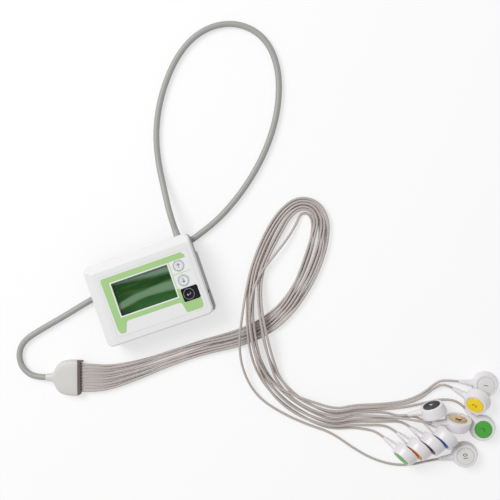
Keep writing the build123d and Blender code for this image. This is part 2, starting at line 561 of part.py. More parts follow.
# Lead wires: ten wires in a flat bundle of two layers. Wires take turns between the lower and the
# upper layer, and keep their order from the comb to the snaps.
# Each station: x, y of the middle of the bundle, height of the lower layer, step from the lower to
# the upper layer, and the spacing between neighbouring wires.
LOW = LEAD_R + 0.05
RIDE = 7.65              # height where the bundle passes over itself
STEP = 1.85              # from the lower to the upper layer
STATIONS = [
    (-51.5, -51.5, 1.7, 1.2, 2.05),
    (-28, -54.0, LOW, STEP, 1.75),
    (-3, -54.8, LOW, STEP, 1.45),
    (22, -54.6, LOW, STEP, 1.20),
    (46, -53.5, LOW, STEP, 1.08),
    (68, -50.0, LOW, STEP, 1.08),
    (88, -43.5, LOW, STEP, 1.10),
    (106, -33.5, LOW, STEP, 1.15),
    (121, -20.5, LOW, STEP, 1.20),
    (131, -6, LOW, STEP, 1.20),
    (135, 7.5, LOW, STEP, 1.12),
    (131.5, 19, LOW, STEP, 1.08),
    (121.5, 25, LOW, STEP, 1.08),
    (109, 21.5, LOW, STEP, 1.10),
    (97, 12.5, LOW, STEP, 1.15),
    (86.5, 0.5, LOW, STEP, 1.15),
    (77.5, -13.0, 1.7, STEP, 1.12),
    (70, -28, 4.6, STEP, 1.10),
    (64, -44, RIDE, STEP, 1.10),
    (59, -62, RIDE, STEP, 1.10),
    (57.5, -79, 3.6, STEP, 1.15),
    (61, -94.5, 1.2, STEP, 1.25),
    (70, -109, LOW, STEP, 1.35),
    (83, -121.5, LOW, STEP, 1.45),
    (96, -130, LOW, STEP, 1.60),
]
# Single wires that stray out of the bundle: (wire, station) to sideways distance, + to the left
STRAYS = {(0, 13): 2.0, (0, 14): 6.0, (0, 15): 5.0, (0, 16): 1.5,
          (9, 17): -2.0, (9, 18): -5.0, (9, 19): -8.0, (9, 20): -9.0, (9, 21): -10.0,
          (9, 22): -9.0, (9, 23): -7.0, (9, 24): -8.0}
# The last points of each wire before its snap, in the pile's own axes
APPROACH = [
    [(-30, 42.2, LOW), (-17, 43.9, LOW), (-4, 46.6, LOW), (8, 50.5, LOW), (19, 55.0, LOW),
     (29.5, 59.5, 1.8)],
    [(-30, 40.0, 2.5), (-17, 41.4, 1.6), (-4, 43.8, LOW), (7, 47.3, LOW), (16.5, 51.6, LOW),
     (25.5, 55.0, 1.6)],
    [(-30, 37.8, LOW), (-17, 38.9, LOW), (-4, 41.3, LOW), (8, 45.6, LOW), (20, 49.0, LOW),
     (32, 49.5, 1.8)],
    [(-30, 35.6, 2.5), (-17, 36.3, 1.4), (-6, 35.8, 1.5)],
    [(-30, 33.4, LOW), (-18, 33.7, 2.8), (-6, 34.0, 6.4), (6, 33.4, 9.8)],
    [(-30, 31.2, 2.5), (-18, 31.4, 1.6), (-6, 31.6, 1.2), (4.5, 31.8, 1.2)],
    [(-30, 29.0, LOW), (-17, 28.9, LOW), (-6, 29.4, LOW)],
    [(-30, 26.8, 2.5), (-21, 26.5, 1.8), (-12.5, 26.8, 1.4)],
    [(-31, 24.5, LOW), (-22, 23.4, LOW)],
    [(-30, 9, LOW), (-17, 2, LOW), (-3, -2.0, LOW), (10.5, -1.9, LOW)],
]


def lead_route(wire):
    """Route of one wire: comb, its lane through the stations, its own approach, its snap's tail."""
    place = (LEADS - 1) / 2 - wire
    upper = wire % 2
    centre = [Vector(YOKE_X, YOKE_Y, 0)] + [Vector(x, y, 0) for x, y, *rest in STATIONS]
    comb_point = yoke_face + across * place * COMB_PITCH
    route = [comb_point, comb_point + along * COMB_LEAD]
    for k, (x, y, low, step, pitch) in enumerate(STATIONS):
        back = (centre[k + 1] - centre[k]).normalized()
        ahead = (centre[k + 2] - centre[k + 1]).normalized() if k + 2 < len(centre) else back
        mean = (back + ahead).normalized()
        side = Vector(-mean.Y, mean.X, 0) * (1 / mean.dot(back))
        shift = place * pitch + STRAYS.get((wire, k), 0)
        point = centre[k + 1] + side * shift
        route.append(Vector(point.X, point.Y, low + upper * step))
    tip, pointing = tips[wire]
    last = [Vector(*p) for p in APPROACH[wire]] + [tip + pointing * TAIL_LEAD, tip]
    route += [(PILE * Pos(*p)).position for p in last]
    return [tuple(p) for p in route]


for wire in range(LEADS):
    cord(f"lead_wire_{wire + 1}", lead_route(wire), LEAD_R, 4)
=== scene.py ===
from math import cos, pi, radians, sin
import bpy
from mathutils import Matrix, Vector


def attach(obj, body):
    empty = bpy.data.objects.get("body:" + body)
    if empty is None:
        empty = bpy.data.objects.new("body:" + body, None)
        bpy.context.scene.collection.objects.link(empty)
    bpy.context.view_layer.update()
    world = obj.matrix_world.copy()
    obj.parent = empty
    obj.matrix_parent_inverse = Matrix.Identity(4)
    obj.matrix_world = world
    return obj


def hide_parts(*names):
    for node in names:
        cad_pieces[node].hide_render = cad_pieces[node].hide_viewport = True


# A body-worn heart recorder with its ten-lead patient cable, laid out on a table. The sizes below
# are in millimetres, as in the part's source, unless a comment says metres.

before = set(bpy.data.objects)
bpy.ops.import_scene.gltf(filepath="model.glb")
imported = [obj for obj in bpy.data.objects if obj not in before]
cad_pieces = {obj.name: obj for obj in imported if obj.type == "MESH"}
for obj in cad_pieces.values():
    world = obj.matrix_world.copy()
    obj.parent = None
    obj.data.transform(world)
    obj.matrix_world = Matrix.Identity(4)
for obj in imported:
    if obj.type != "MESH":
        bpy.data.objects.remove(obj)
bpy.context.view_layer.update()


# Front shell. The white half of the housing, injection moulded in ABS with a fine spark-eroded
# grain. It carries the label, the lens and the keys, and its four bosses take the case screws.

SHELL_WHITE = (238, 238, 238)
CASE_TOP = 22.0  # height of the face above the table


def mm(*lengths):
    """Lengths or the coordinates of a point, from millimetres to metres."""
    return Vector([length * 0.001 for length in lengths])


def paint(red, green, blue):
    """A colour as it is read off a paint chart, 0 to 255, for a shader's colour socket."""
    chart = [c / 255 for c in (red, green, blue)]
    return (*[c / 12.92 if c < 0.04 else ((c + 0.055) / 1.055) ** 2.4 for c in chart], 1.0)


def add(tree, kind, inputs=None, **settings):
    """A shader node. Each of its inputs is a value, or the socket that feeds it."""
    made = tree.nodes.new("ShaderNode" + kind)
    for key, value in settings.items():
        setattr(made, key, value)
    for key, value in (inputs or {}).items():
        if isinstance(value, bpy.types.NodeSocket):
            tree.links.new(value, made.inputs[key])
        else:
            made.inputs[key].default_value = value
    return made


def effect(name, inputs, outputs):
    """An empty node group for an effect that several finishes share, with its two end nodes."""
    tree = bpy.data.node_groups.new(name, "ShaderNodeTree")
    for label, kind, value in inputs:
        socket = tree.interface.new_socket(label, in_out="INPUT", socket_type="NodeSocket" + kind)
        socket.default_value = value
    for label, kind in outputs:
        tree.interface.new_socket(label, in_out="OUTPUT", socket_type="NodeSocket" + kind)
    return tree, tree.nodes.new("NodeGroupInput"), tree.nodes.new("NodeGroupOutput")


def spread(tree, value, low, high, from_low=0.0, from_high=1.0):
    """The value, mapped from one range to another."""
    return add(tree, "MapRange", {"Value": value, "From Min": from_low, "From Max": from_high,
                                  "To Min": low, "To Max": high}).outputs["Result"]


def own_place(tree):
    """Where a point of a piece lies in the piece's own coordinates."""
    return add(tree, "TexCoord").outputs["Object"]


def noise(tree, place, scale, detail, roughness=0.5):
    """A smooth noise between 0 and 1."""
    return add(tree, "TexNoise", {"Vector": place, "Scale": scale, "Detail": detail,
                                  "Roughness": roughness}).outputs["Fac"]


def reckon(tree, operation, *values, clamp=False):
    """The result of a Math node on these values."""
    return add(tree, "Math", dict(enumerate(values)), operation=operation,
               use_clamp=clamp).outputs[0]


def blended(tree, mask, first, second):
    """The first colour where the mask is 0, the second where it is 1."""
    return add(tree, "Mix", {0: mask, 6: first, 7: second}, data_type="RGBA").outputs[2]


# Moulded grain: the fine bumps that a spark-eroded mould leaves, and the slight unevenness of
# colour and gloss of the moulding as a whole.
moulded, into, out = effect(
    "moulded grain",
    [("Color", "Color", paint(200, 200, 200)), ("Tone", "Float", 0.02), ("Grain", "Float", 2400.0),
     ("Roughness", "Float", 0.45), ("Gloss Change", "Float", 0.06)],
    [("Color", "Color"), ("Roughness", "Float"), ("Height", "Float")])
place = own_place(moulded)
broad = noise(moulded, place, 38.0, 2.0)
grain = noise(moulded, place, into.outputs["Grain"], 3.0)
lighter = reckon(moulded, "MULTIPLY_ADD", spread(moulded, broad, -1.0, 1.0),
                 into.outputs["Tone"], 1.0)
duller = reckon(moulded, "MULTIPLY_ADD", spread(moulded, grain, -1.0, 1.0),
                into.outputs["Gloss Change"], into.outputs["Roughness"])
toned = add(moulded, "VectorMath", {0: into.outputs["Color"], "Scale": lighter}, operation="SCALE")
moulded.links.new(toned.outputs[0], out.inputs["Color"])
moulded.links.new(duller, out.inputs["Roughness"])
moulded.links.new(grain, out.inputs["Height"])

# Handling wear: edges rubbed a little paler, found where the rounded normal leaves the true one.
# The width of the rubbed edge is in metres.
handled, into, out = effect(
    "handling wear",
    [("Color", "Color", paint(128, 128, 128)), ("Worn Color", "Color", paint(190, 190, 190)),
     ("Width", "Float", 0.0005), ("Amount", "Float", 0.5)],
    [("Color", "Color")])
true_normal = add(handled, "NewGeometry").outputs["Normal"]
round_normal = add(handled, "Bevel", {"Radius": into.outputs["Width"]}, samples=4).outputs["Normal"]
apart = add(handled, "VectorMath", {0: round_normal, 1: true_normal},
            operation="DOT_PRODUCT").outputs["Value"]
patchy = noise(handled, own_place(handled), 420.0, 4.0)
rubbed = reckon(handled, "MULTIPLY", spread(handled, apart, 1.0, 0.0, 0.90, 0.995),
                spread(handled, patchy, 0.2, 1.0, 0.35, 0.65))
rubbed = reckon(handled, "MULTIPLY", rubbed, into.outputs["Amount"], clamp=True)
handled.links.new(blended(handled, rubbed, into.outputs["Color"], into.outputs["Worn Color"]),
                  out.inputs["Color"])

# Settled dust: a thin pale film on what faces up, thicker in some places than in others.
dusty, into, out = effect(
    "settled dust",
    [("Color", "Color", paint(40, 40, 40)), ("Amount", "Float", 0.1)],
    [("Color", "Color")])
facing_up = add(dusty, "SeparateXYZ", {0: add(dusty, "NewGeometry").outputs["Normal"]}).outputs["Z"]
specks = noise(dusty, own_place(dusty), 700.0, 7.0, 0.7)
film = reckon(dusty, "MULTIPLY", spread(dusty, facing_up, 0.0, 1.0, 0.3, 1.0),
              spread(dusty, specks, 0.0, 1.0, 0.42, 0.72))
film = reckon(dusty, "MULTIPLY", film, into.outputs["Amount"], clamp=True)
dust_colour = paint(206, 203, 197)
dusty.links.new(blended(dusty, film, into.outputs["Color"], dust_colour), out.inputs["Color"])


def finish(name, **sockets):
    """A material with its principled shader, and these sockets set to plain values."""
    material = bpy.data.materials.new(name)
    material.use_nodes = True
    tree = material.node_tree
    shader = tree.nodes["Principled BSDF"]
    for label, value in sockets.items():
        shader.inputs[label.replace("_", " ")].default_value = value
    return material, tree, shader


def place_effect(tree, group, **inputs):
    """A shared effect placed in a material with its own values. Gives the effect's outputs."""
    values = {label.replace("_", " "): value for label, value in inputs.items()}
    return add(tree, "Group", values, node_tree=group).outputs


def bump(tree, shader, height, strength, depth):
    """Feeds a height to the shader's normal; depth is in millimetres."""
    normal = add(tree, "Bump", {"Height": height, "Strength": strength, "Distance": depth * 0.001})
    tree.links.new(normal.outputs["Normal"], shader.inputs["Normal"])


def plastic(name, colour, grain=2400.0, tone=0.02, roughness=0.45, depth=0.02, worn=None,
            wear=0.0, dust=0.0, **sockets):
    """A moulded plastic or rubber, with its own grain, rubbed edges and dust."""
    material, tree, shader = finish(name, **sockets)
    body = place_effect(tree, moulded, Color=paint(*colour), Tone=tone, Grain=grain,
                        Roughness=roughness)
    shade = body["Color"]
    if wear:
        shade = place_effect(tree, handled, Color=shade, Worn_Color=paint(*worn),
                             Amount=wear)["Color"]
    if dust:
        shade = place_effect(tree, dusty, Color=shade, Amount=dust)["Color"]
    tree.links.new(shade, shader.inputs["Base Color"])
    tree.links.new(body["Roughness"], shader.inputs["Roughness"])
    bump(tree, shader, body["Height"], 0.5, depth)
    return material


def dress(node, material):
    """Gives a carried-over piece its finish."""
    for slot in cad_pieces[node].material_slots:
        slot.material = material


dress("front_cover", plastic("white ABS", SHELL_WHITE, roughness=0.42, tone=0.012, dust=0.05))


# Face label. A satin polyester sheet glued into a shallow seat in the face, with the display window
# and the key openings die cut. Its inks are screen printed: green, pale green, then white.

PRINT_T, WHITE_T = 0.03, 0.04  # how far the green inks and the white ink stand above the label
WINDOW_X, WINDOW_Y, WINDOW_W, WINDOW_D = -1.9, 0.9, 43.0, 24.3
RING_W = 0.9  # white ring round the window
ARROW_X, UP_Y, DOWN_Y, KEY_R = 27.3, 9.6, -1.4, 4.1
KEY_GAP = 0.15  # bare film round an arrow key
ENTER_X, ENTER_Y, ENTER_W, ENTER_D = 29.1, -11.7, 12.2, 9.6
ENTER_GAP = 0.25  # bare film round the enter key
LINE_W = 1.0  # pale line between the window's ring and the arrow keys
PAD_X1 = 35.6  # right edge of the white pads round the arrow keys
UP_PAD, DOWN_PAD = (4.6, 13.6), (-5.8, 3.7)  # lower and upper edge of each pad
FIELD_STEP_Y = -5.9  # the green field is narrow above this and wide below it

dress("face_label", plastic("label film", (240, 240, 240), grain=1500.0, tone=0.008, roughness=0.3,
                            depth=0.008, Coat_Weight=0.25, Coat_Roughness=0.2))


def softened(corners, steps=5):
    """A closed outline with rounded corners, each given as (x, y, reach of the rounding)."""
    outline = []
    for i, (x, y, reach) in enumerate(corners):
        here = Vector((x, y))
        if reach <= 0:
            outline.append(here)
            continue
        before = (Vector(corners[i - 1][:2]) - here).normalized() * reach
        after = (Vector(corners[(i + 1) % len(corners)][:2]) - here).normalized() * reach
        for k in range(steps + 1):
            t = k / steps
            outline.append(here + before * (1 - t) ** 2 + after * t ** 2)
    return outline


def ring(x, y, radius, steps=48):
    """A round outline."""
    return [Vector((x + radius * cos(2 * pi * k / steps), y + radius * sin(2 * pi * k / steps)))
            for k in range(steps)]


def box_outline(x, y, width, depth, reach=0.0):
    """A rectangular outline round this middle, with its corners rounded."""
    return softened([(x - width / 2, y - depth / 2, reach), (x + width / 2, y - depth / 2, reach),
                     (x + width / 2, y + depth / 2, reach), (x - width / 2, y + depth / 2, reach)])


def put_in_scene(name, mesh, material, sharp=30):
    """A piece of this mesh, shaded smooth but for edges sharper than so many degrees."""
    piece = bpy.data.objects.new(name, mesh)
    bpy.context.scene.collection.objects.link(piece)
    mesh.materials.clear()
    mesh.materials.append(material)
    mesh.shade_smooth()
    mesh.set_sharp_from_angle(angle=radians(sharp))
    return piece


def cut_sheet(name, outlines, low, high, material):
    """A flat piece cut to these outlines, one inside another being a hole, between two heights."""
    curve = bpy.data.curves.new(name, "CURVE")
    curve.dimensions = "2D"
    curve.fill_mode = "BOTH"
    curve.extrude = (high - low) / 2 * 0.001
    for outline in outlines:
        spline = curve.splines.new("POLY")
        spline.points.add(len(outline) - 1)
        for point, (x, y) in zip(spline.points, outline):
            point.co = (x * 0.001, y * 0.001, 0, 1)
        spline.use_cyclic_u = True
    pattern = bpy.data.objects.new(name, curve)
    mesh = bpy.data.meshes.new_from_object(pattern)
    bpy.data.objects.remove(pattern)
    bpy.data.curves.remove(curve)
    mesh.transform(Matrix.Translation(mm(0, 0, (low + high) / 2)))
    return put_in_scene(name, mesh, material)


def key_pad(low, high):
    """Outline of the white pad round an arrow key."""
    return softened([(pad_x0, low, 1.2), (PAD_X1, low, 1.4), (PAD_X1, high, 1.4),
                     (pad_x0, high, 1.2)])


ring_x0, ring_x1 = WINDOW_X - WINDOW_W / 2 - RING_W, WINDOW_X + WINDOW_W / 2 + RING_W
ring_y0, ring_y1 = WINDOW_Y - WINDOW_D / 2 - RING_W, WINDOW_Y + WINDOW_D / 2 + RING_W
pad_x0 = ring_x1 + LINE_W
enter_x0, enter_y0 = ENTER_X - ENTER_W / 2 - ENTER_GAP, ENTER_Y - ENTER_D / 2 - ENTER_GAP
# Corners of the green field and of the pale line beside the keys: x, y, reach of the rounding
GREEN_FIELD = [
    (-29.9, 18.2, 1.8), (31.8, 18.2, 0.5), (33.8, 15.7, 0.4), (33.6, ring_y1, 0.2),
    (ring_x1, ring_y1, 0), (ring_x0, ring_y1, 0.5), (ring_x0, ring_y0, 0.5), (ring_x1, ring_y0, 0),
    (ring_x1, FIELD_STEP_Y, 0.2), (enter_x0, FIELD_STEP_Y, 0), (enter_x0, enter_y0, 0),
    (35.4, enter_y0, 0.2), (35.4, -21.8, 0.4), (34.2, -23.9, 0.7), (22.4, -23.9, 0.8),
    (20.6, -15.6, 1.8), (-20.8, -15.6, 1.6), (-24.0, -23.4, 0.6), (-27.9, -23.0, 0.9),
    (-29.2, -20.0, 1.0)]
KEY_LINES = [
    (ring_x1, FIELD_STEP_Y, 0), (pad_x0, FIELD_STEP_Y, 0), (pad_x0, DOWN_PAD[1], 0.3),
    (34.2, 3.9, 0.2), (34.4, 4.4, 0.2), (pad_x0, UP_PAD[0], 0.3), (pad_x0, ring_y1, 0),
    (ring_x1, ring_y1, 0)]

green_ink = plastic("green ink", (168, 209, 136), grain=5200.0, tone=0.02, roughness=0.32,
                    depth=0.006, Coat_Weight=0.25, Coat_Roughness=0.2)
pale_ink = plastic("pale green ink", (206, 226, 188), grain=5200.0, tone=0.02, roughness=0.32,
                   depth=0.006)
white_ink = plastic("white ink", (239, 241, 242), grain=5200.0, tone=0.006, roughness=0.3,
                    depth=0.006, Coat_Weight=0.25, Coat_Roughness=0.2)
white_shapes = [
    box_outline(WINDOW_X, WINDOW_Y, WINDOW_W + 2 * RING_W, WINDOW_D + 2 * RING_W, 0.7),
    box_outline(WINDOW_X, WINDOW_Y, WINDOW_W, WINDOW_D, 0.5),
    key_pad(*UP_PAD), ring(ARROW_X, UP_Y, KEY_R + KEY_GAP),
    key_pad(*DOWN_PAD), ring(ARROW_X, DOWN_Y, KEY_R + KEY_GAP)]
label_print = [
    cut_sheet("print_green", [softened(GREEN_FIELD)], CASE_TOP, CASE_TOP + PRINT_T, green_ink),
    cut_sheet("print_key_lines", [softened(KEY_LINES)], CASE_TOP, CASE_TOP + PRINT_T, pale_ink),
    cut_sheet("print_white", white_shapes, CASE_TOP, CASE_TOP + WHITE_T, white_ink)]
for sheet in label_print:
    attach(sheet, "recorder")


# Display. A reflective liquid-crystal module on the board, behind an acrylic lens whose edge lies
# under the label. Its dark green field carries painted reflections: soft pale streaks of the lamp.

lens_clear, tree, shader = finish("clear acrylic", Base_Color=paint(40, 62, 42), IOR=1.49,
                                  Alpha=0.06)
scratches = noise(tree, own_place(tree), 260.0, 5.0)
tree.links.new(spread(tree, scratches, 0.0, 0.07, 0.4, 0.75), shader.inputs["Roughness"])
dress("display_lens", lens_clear)

lcd, tree, shader = finish("green crystal display", Specular_IOR_Level=0.08)
xyz = add(tree, "SeparateXYZ", {0: own_place(tree)})
# u runs from 0 at the window's left edge to 1 at its right, v from its lower edge to its upper
left, low = (WINDOW_X - WINDOW_W / 2) * 0.001, (WINDOW_Y - WINDOW_D / 2) * 0.001
u = spread(tree, xyz.outputs["X"], 0, 1, left, left + WINDOW_W * 0.001)
v = spread(tree, xyz.outputs["Y"], 0, 1, low, low + WINDOW_D * 0.001)
on_field = add(tree, "CombineXYZ", {0: u, 1: reckon(tree, "MULTIPLY", v, 2.2)}).outputs[0]
v_soft = reckon(tree, "ADD", v, spread(tree, noise(tree, on_field, 2.4, 2.0), -0.05, 0.05))


def streak(middle_left, rise, bow, width, fading=0.0):
    """A painted reflection streak across the display: 1 along its middle line, 0 a width away.

    The middle line starts at a height at the left edge, rises and bows. Fading narrows the streak
    towards the left."""
    bowed = reckon(tree, "MULTIPLY", reckon(tree, "MULTIPLY", u, u), bow)
    line = reckon(tree, "ADD", reckon(tree, "MULTIPLY_ADD", u, rise, middle_left), bowed)
    broad = reckon(tree, "MULTIPLY", width, spread(tree, u, 1.0 - fading, 1.0))
    off = reckon(tree, "ABSOLUTE", reckon(tree, "SUBTRACT", v_soft, line))
    return add(tree, "MapRange", {"Value": reckon(tree, "DIVIDE", off, broad), "From Min": 0.35,
                                  "From Max": 1.0, "To Min": 1.0, "To Max": 0.0},
               interpolation_type="SMOOTHSTEP").outputs["Result"]


# The field is painted darker in its lower left corner and paler towards its lower edge. Painted
# reflections of the lamp run across it: two pale streaks, and fine lines in a band across the
# middle.
dark_corner = reckon(tree, "MULTIPLY", spread(tree, u, 1.0, 0.0, 0.0, 0.3),
                     spread(tree, v, 1.0, 0.0, 0.0, 0.35))
along_streaks = reckon(tree, "SUBTRACT", v_soft, reckon(tree, "MULTIPLY", u, 0.2))
stretched = add(tree, "CombineXYZ", {0: reckon(tree, "MULTIPLY", u, 1.6),
                                     1: reckon(tree, "MULTIPLY", along_streaks, 30.0)}).outputs[0]
hair = noise(tree, stretched, 1.0, 3.0)
reflection_lines = reckon(tree, "MULTIPLY", spread(tree, hair, 0, 0.6, 0.54, 0.64),
                    streak(0.52, 0.14, 0.0, 0.34))
field = blended(tree, spread(tree, v, 0, 1, 0.5, 0.05), paint(24, 70, 17), paint(56, 108, 54))
for mask, colour in ((dark_corner, (16, 40, 18)),
                     (streak(0.27, 0.42, -0.30, 0.20, 0.35), (126, 160, 124)),
                     (streak(1.06, -0.06, 0.0, 0.33, 0.55), (136, 166, 142)),
                     (reflection_lines, (96, 142, 80))):
    field = blended(tree, mask, field, paint(*colour))
tree.links.new(field, shader.inputs["Base Color"])
tree.links.new(spread(tree, hair, 0.3, 0.5), shader.inputs["Roughness"])
dress("display_module", lcd)


# Keys. Three moulded keys that press metal domes on the board. The arrow keys are white silicone
# rubber with a printed ring and arrow, the enter key is hard black plastic with pale print.

KEY_PROUD = 0.35  # how far the keys stand out of the face
KEY_TOP = CASE_TOP + KEY_PROUD
FLANGE_TOP, FLANGE_T, FLANGE_OUT = 19.9, 0.9, 0.6  # the flange that holds a key in the face
STEM_FOOT, STEM_R = 17.4, 1.3  # the stem that reaches down to the metal dome
SIGN_LOW, SIGN_TOP = KEY_TOP - 0.07, KEY_TOP - 0.02  # the print in a key's hollowed top
ARROW_RING, ENTER_RING = (3.62, 3.34), (3.92, 3.7)  # outer and inner radius of a printed ring
RETURN_X = ENTER_X - 1.2  # middle of the enter key's sign
# Outlines of the printed signs, about the middle of their ring
ARROW = [(0, 1.75), (1.25, 0.5), (0.95, 0.2), (0.2, 0.95), (0.2, -1.75), (-0.2, -1.75),
         (-0.2, 0.95), (-0.95, 0.2), (-1.25, 0.5)]
RETURN_ARROW = [(-1.7, -0.35), (-0.75, 0.57), (-0.5, 0.32), (-1.0, -0.19), (1.15, -0.19),
                (1.15, 1.15), (1.47, 1.15), (1.47, -0.51), (-1.0, -0.51), (-0.5, -1.02),
                (-0.75, -1.27)]


def turned(profile, steps=64, closed=False):
    """Points and faces of a piece turned about Z from (radius, height) points."""
    points, rows, faces = [], [], []
    for r, z in profile:
        if r < 1e-6:
            rows.append([len(points)] * steps)
            points.append((0, 0, z))
        else:
            rows.append(range(len(points), len(points) + steps))
            points += [(r * cos(2 * pi * k / steps), r * sin(2 * pi * k / steps), z)
                       for k in range(steps)]
    pairs = list(zip(rows, rows[1:])) + ([(rows[-1], rows[0])] if closed else [])
    for low_row, high_row in pairs:
        for k in range(steps):
            n = (k + 1) % steps
            face = list(dict.fromkeys([low_row[k], low_row[n], high_row[n], high_row[k]]))
            if len(face) > 2:
                faces.append(face)
    return points, faces


def stacked(loops):
    """Points and faces of a closed piece whose loops of points lie one above another."""
    points = [p for loop in loops for p in loop]
    n = len(loops[0])
    faces = [[i * n + k, i * n + (k + 1) % n, (i + 1) * n + (k + 1) % n, (i + 1) * n + k]
             for i in range(len(loops) - 1) for k in range(n)]
    faces += [list(range(n))[::-1], list(range(len(points) - n, len(points)))]
    return points, faces


def joined_mesh(name, *shapes):
    """One mesh in metres of several shapes, each (points, faces) in millimetres."""
    points, faces = [], []
    for shape_points, shape_faces in shapes:
        start = len(points)
        points += [tuple(mm(*p)) for p in shape_points]
        faces += [[start + i for i in face] for face in shape_faces]
    mesh = bpy.data.meshes.new(name)
    mesh.from_pydata(points, [], faces)
    mesh.validate()
    return mesh


def moved(shape, x=0.0, y=0.0, z=0.0, turn=None):
    """The shape turned by a matrix, then moved."""
    points, faces = shape
    turn = turn or Matrix.Identity(3)
    return [tuple(turn @ Vector(p) + Vector((x, y, z))) for p in points], faces


def key_body(outline_at, x, y):
    """A key: its stem, and from the foot up its flange, wall, rounded edge and hollowed top.

    outline_at gives its outline, grown by so much; each level is (how much, height)."""
    levels = [(FLANGE_OUT, FLANGE_TOP - FLANGE_T), (FLANGE_OUT, FLANGE_TOP), (0, FLANGE_TOP),
              (0, KEY_TOP - 0.32), (-0.06, KEY_TOP - 0.16), (-0.16, KEY_TOP - 0.06),
              (-0.32, KEY_TOP - 0.01), (-0.5, KEY_TOP - 0.03), (-0.62, KEY_TOP - 0.06)]
    loops = [[(px, py, z) for px, py in outline_at(grow)] for grow, z in levels]
    stem = turned([(0, STEM_FOOT), (STEM_R - 0.2, STEM_FOOT), (STEM_R, STEM_FOOT + 0.2),
                   (STEM_R, FLANGE_TOP - FLANGE_T + 0.2), (0, FLANGE_TOP - FLANGE_T + 0.2)], 24)
    return stacked(loops), moved(stem, x, y)


def printed_sign(body, x, y, radii, outline, ink):
    """A ring and a sign printed on a key."""
    rings = [ring(x, y, radius, 72) for radius in radii]
    return cut_sheet(body + "_print", rings + [[(x + px, y + py) for px, py in outline]],
                     SIGN_LOW, SIGN_TOP, ink)


def put_on_key(pieces, body):
    """Joins a key's cap and its print to the moving body, in place of its solid."""
    for piece in pieces:
        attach(piece, body)
    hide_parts(body)


white_rubber = plastic("white silicone", (231, 232, 235), grain=3200.0, tone=0.01, roughness=0.5,
                       dust=0.08)
grey_print = plastic("grey print", (86, 87, 100), grain=6000.0, roughness=0.4, depth=0.004)
black_plastic = plastic("black key", (12, 13, 20), grain=1800.0, tone=0.1, roughness=0.42,
                        depth=0.008, worn=(46, 48, 56), wear=0.35, Specular_IOR_Level=0.15)
silver_print = plastic("silver print", (176, 181, 190), grain=6000.0, roughness=0.35, depth=0.004)

for body, y, way in (("up_button", UP_Y, 1), ("down_button", DOWN_Y, -1)):
    shapes = key_body(lambda grow: ring(ARROW_X, y, KEY_R + grow, 64), ARROW_X, y)
    key = put_in_scene(body + "_cap", joined_mesh(body, *shapes), white_rubber)
    arrow = [(px, way * py) for px, py in ARROW]
    sign = printed_sign(body, ARROW_X, y, ARROW_RING, arrow, grey_print)
    put_on_key([key, sign], body)

shapes = key_body(lambda grow: box_outline(ENTER_X, ENTER_Y, ENTER_W + 2 * grow,
                                           ENTER_D + 2 * grow, 1.0), ENTER_X, ENTER_Y)
key = put_in_scene("enter_button_cap", joined_mesh("enter_button", *shapes), black_plastic)
sign = printed_sign("enter_button", RETURN_X, ENTER_Y, ENTER_RING, RETURN_ARROW, silver_print)
put_on_key([key, sign], "enter_button")


# Rear shell and doors. The deep grey half of the housing, with the battery door that slides along
# its back and the flap over the memory card, all moulded in coarse-grained ABS. A rubber seal is
# squeezed between the two halves of the housing.

SHELL_GREY, DOOR_GREY, FLAP_GREY = (152, 153, 151), (145, 146, 145), (128, 129, 129)
dress("rear_cover", plastic("grey ABS", SHELL_GREY, grain=1700.0, tone=0.04, roughness=0.5,
                            depth=0.04, worn=(188, 189, 188), wear=0.45, dust=0.08))
dress("battery_door", plastic("grey door", DOOR_GREY, grain=1700.0, tone=0.04, roughness=0.5,
                              depth=0.04, worn=(178, 179, 180), wear=0.7, dust=0.08))
dress("card_door", plastic("grey flap", FLAP_GREY, grain=1900.0, tone=0.05, roughness=0.46,
                           depth=0.03, worn=(170, 171, 172), wear=0.6, dust=0.12))
dress("housing_seal", plastic("seal rubber", (58, 60, 62), grain=2600.0, roughness=0.7, dust=0.15))


# Screws, flap pin, domes, contacts and card socket. Small pieces of nickel-plated and stainless
# steel with fine lines from drawing and rolling. The screws hold the two shells together.


def steel(name, colour, stretch, roughness=0.28):
    """Plated or stainless steel with fine lines, closest where stretch is largest."""
    material, tree, shader = finish(name, Metallic=1.0)
    drawn = add(tree, "VectorMath", {0: own_place(tree), 1: stretch}, operation="MULTIPLY")
    lines = noise(tree, drawn.outputs[0], 1.0, 3.0)
    worn = place_effect(tree, handled, Color=paint(*colour), Worn_Color=paint(235, 232, 226),
                        Amount=0.5)
    tree.links.new(worn["Color"], shader.inputs["Base Color"])
    tree.links.new(spread(tree, lines, roughness - 0.1, roughness + 0.16, 0.3, 0.7),
                   shader.inputs["Roughness"])
    bump(tree, shader, lines, 0.25, 0.01)
    return material


bright_steel = steel("bright steel", (188, 188, 186), (900.0, 6000.0, 900.0))
for node in ("case_screws", "key_domes", "battery_contacts", "card_socket"):
    dress(node, bright_steel)
dress("card_door_pin", steel("pin steel", (176, 176, 176), (6000.0, 300.0, 6000.0), 0.2))


# Cells. Two alkaline cells, steel cans in a plain printed sleeve that leaves their ends bare,
# pressed between the spring contacts of their compartment.

CELL_MID_X, CELL_HALF = -5.5, 21.8
CELL_BARE, CELL_BAND = 0.9, 9.0  # bare metal, and the pale band of the sleeve, at each end
cell_wrap, tree, shader = finish("cell sleeve", Coat_Weight=0.6, Coat_Roughness=0.1)
along_cell = add(tree, "SeparateXYZ", {0: own_place(tree)}).outputs["X"]
off_middle = reckon(tree, "ABSOLUTE", reckon(tree, "SUBTRACT", along_cell, CELL_MID_X * 0.001))
bare_end = reckon(tree, "GREATER_THAN", off_middle, (CELL_HALF - CELL_BARE) * 0.001)
band = reckon(tree, "GREATER_THAN", off_middle, (CELL_HALF - CELL_BAND) * 0.001)
sleeve = place_effect(tree, moulded, Color=paint(52, 78, 112), Tone=0.05, Grain=900.0,
                      Roughness=0.3)
shade = blended(tree, band, sleeve["Color"], paint(205, 207, 208))
tree.links.new(blended(tree, bare_end, shade, paint(196, 196, 194)), shader.inputs["Base Color"])
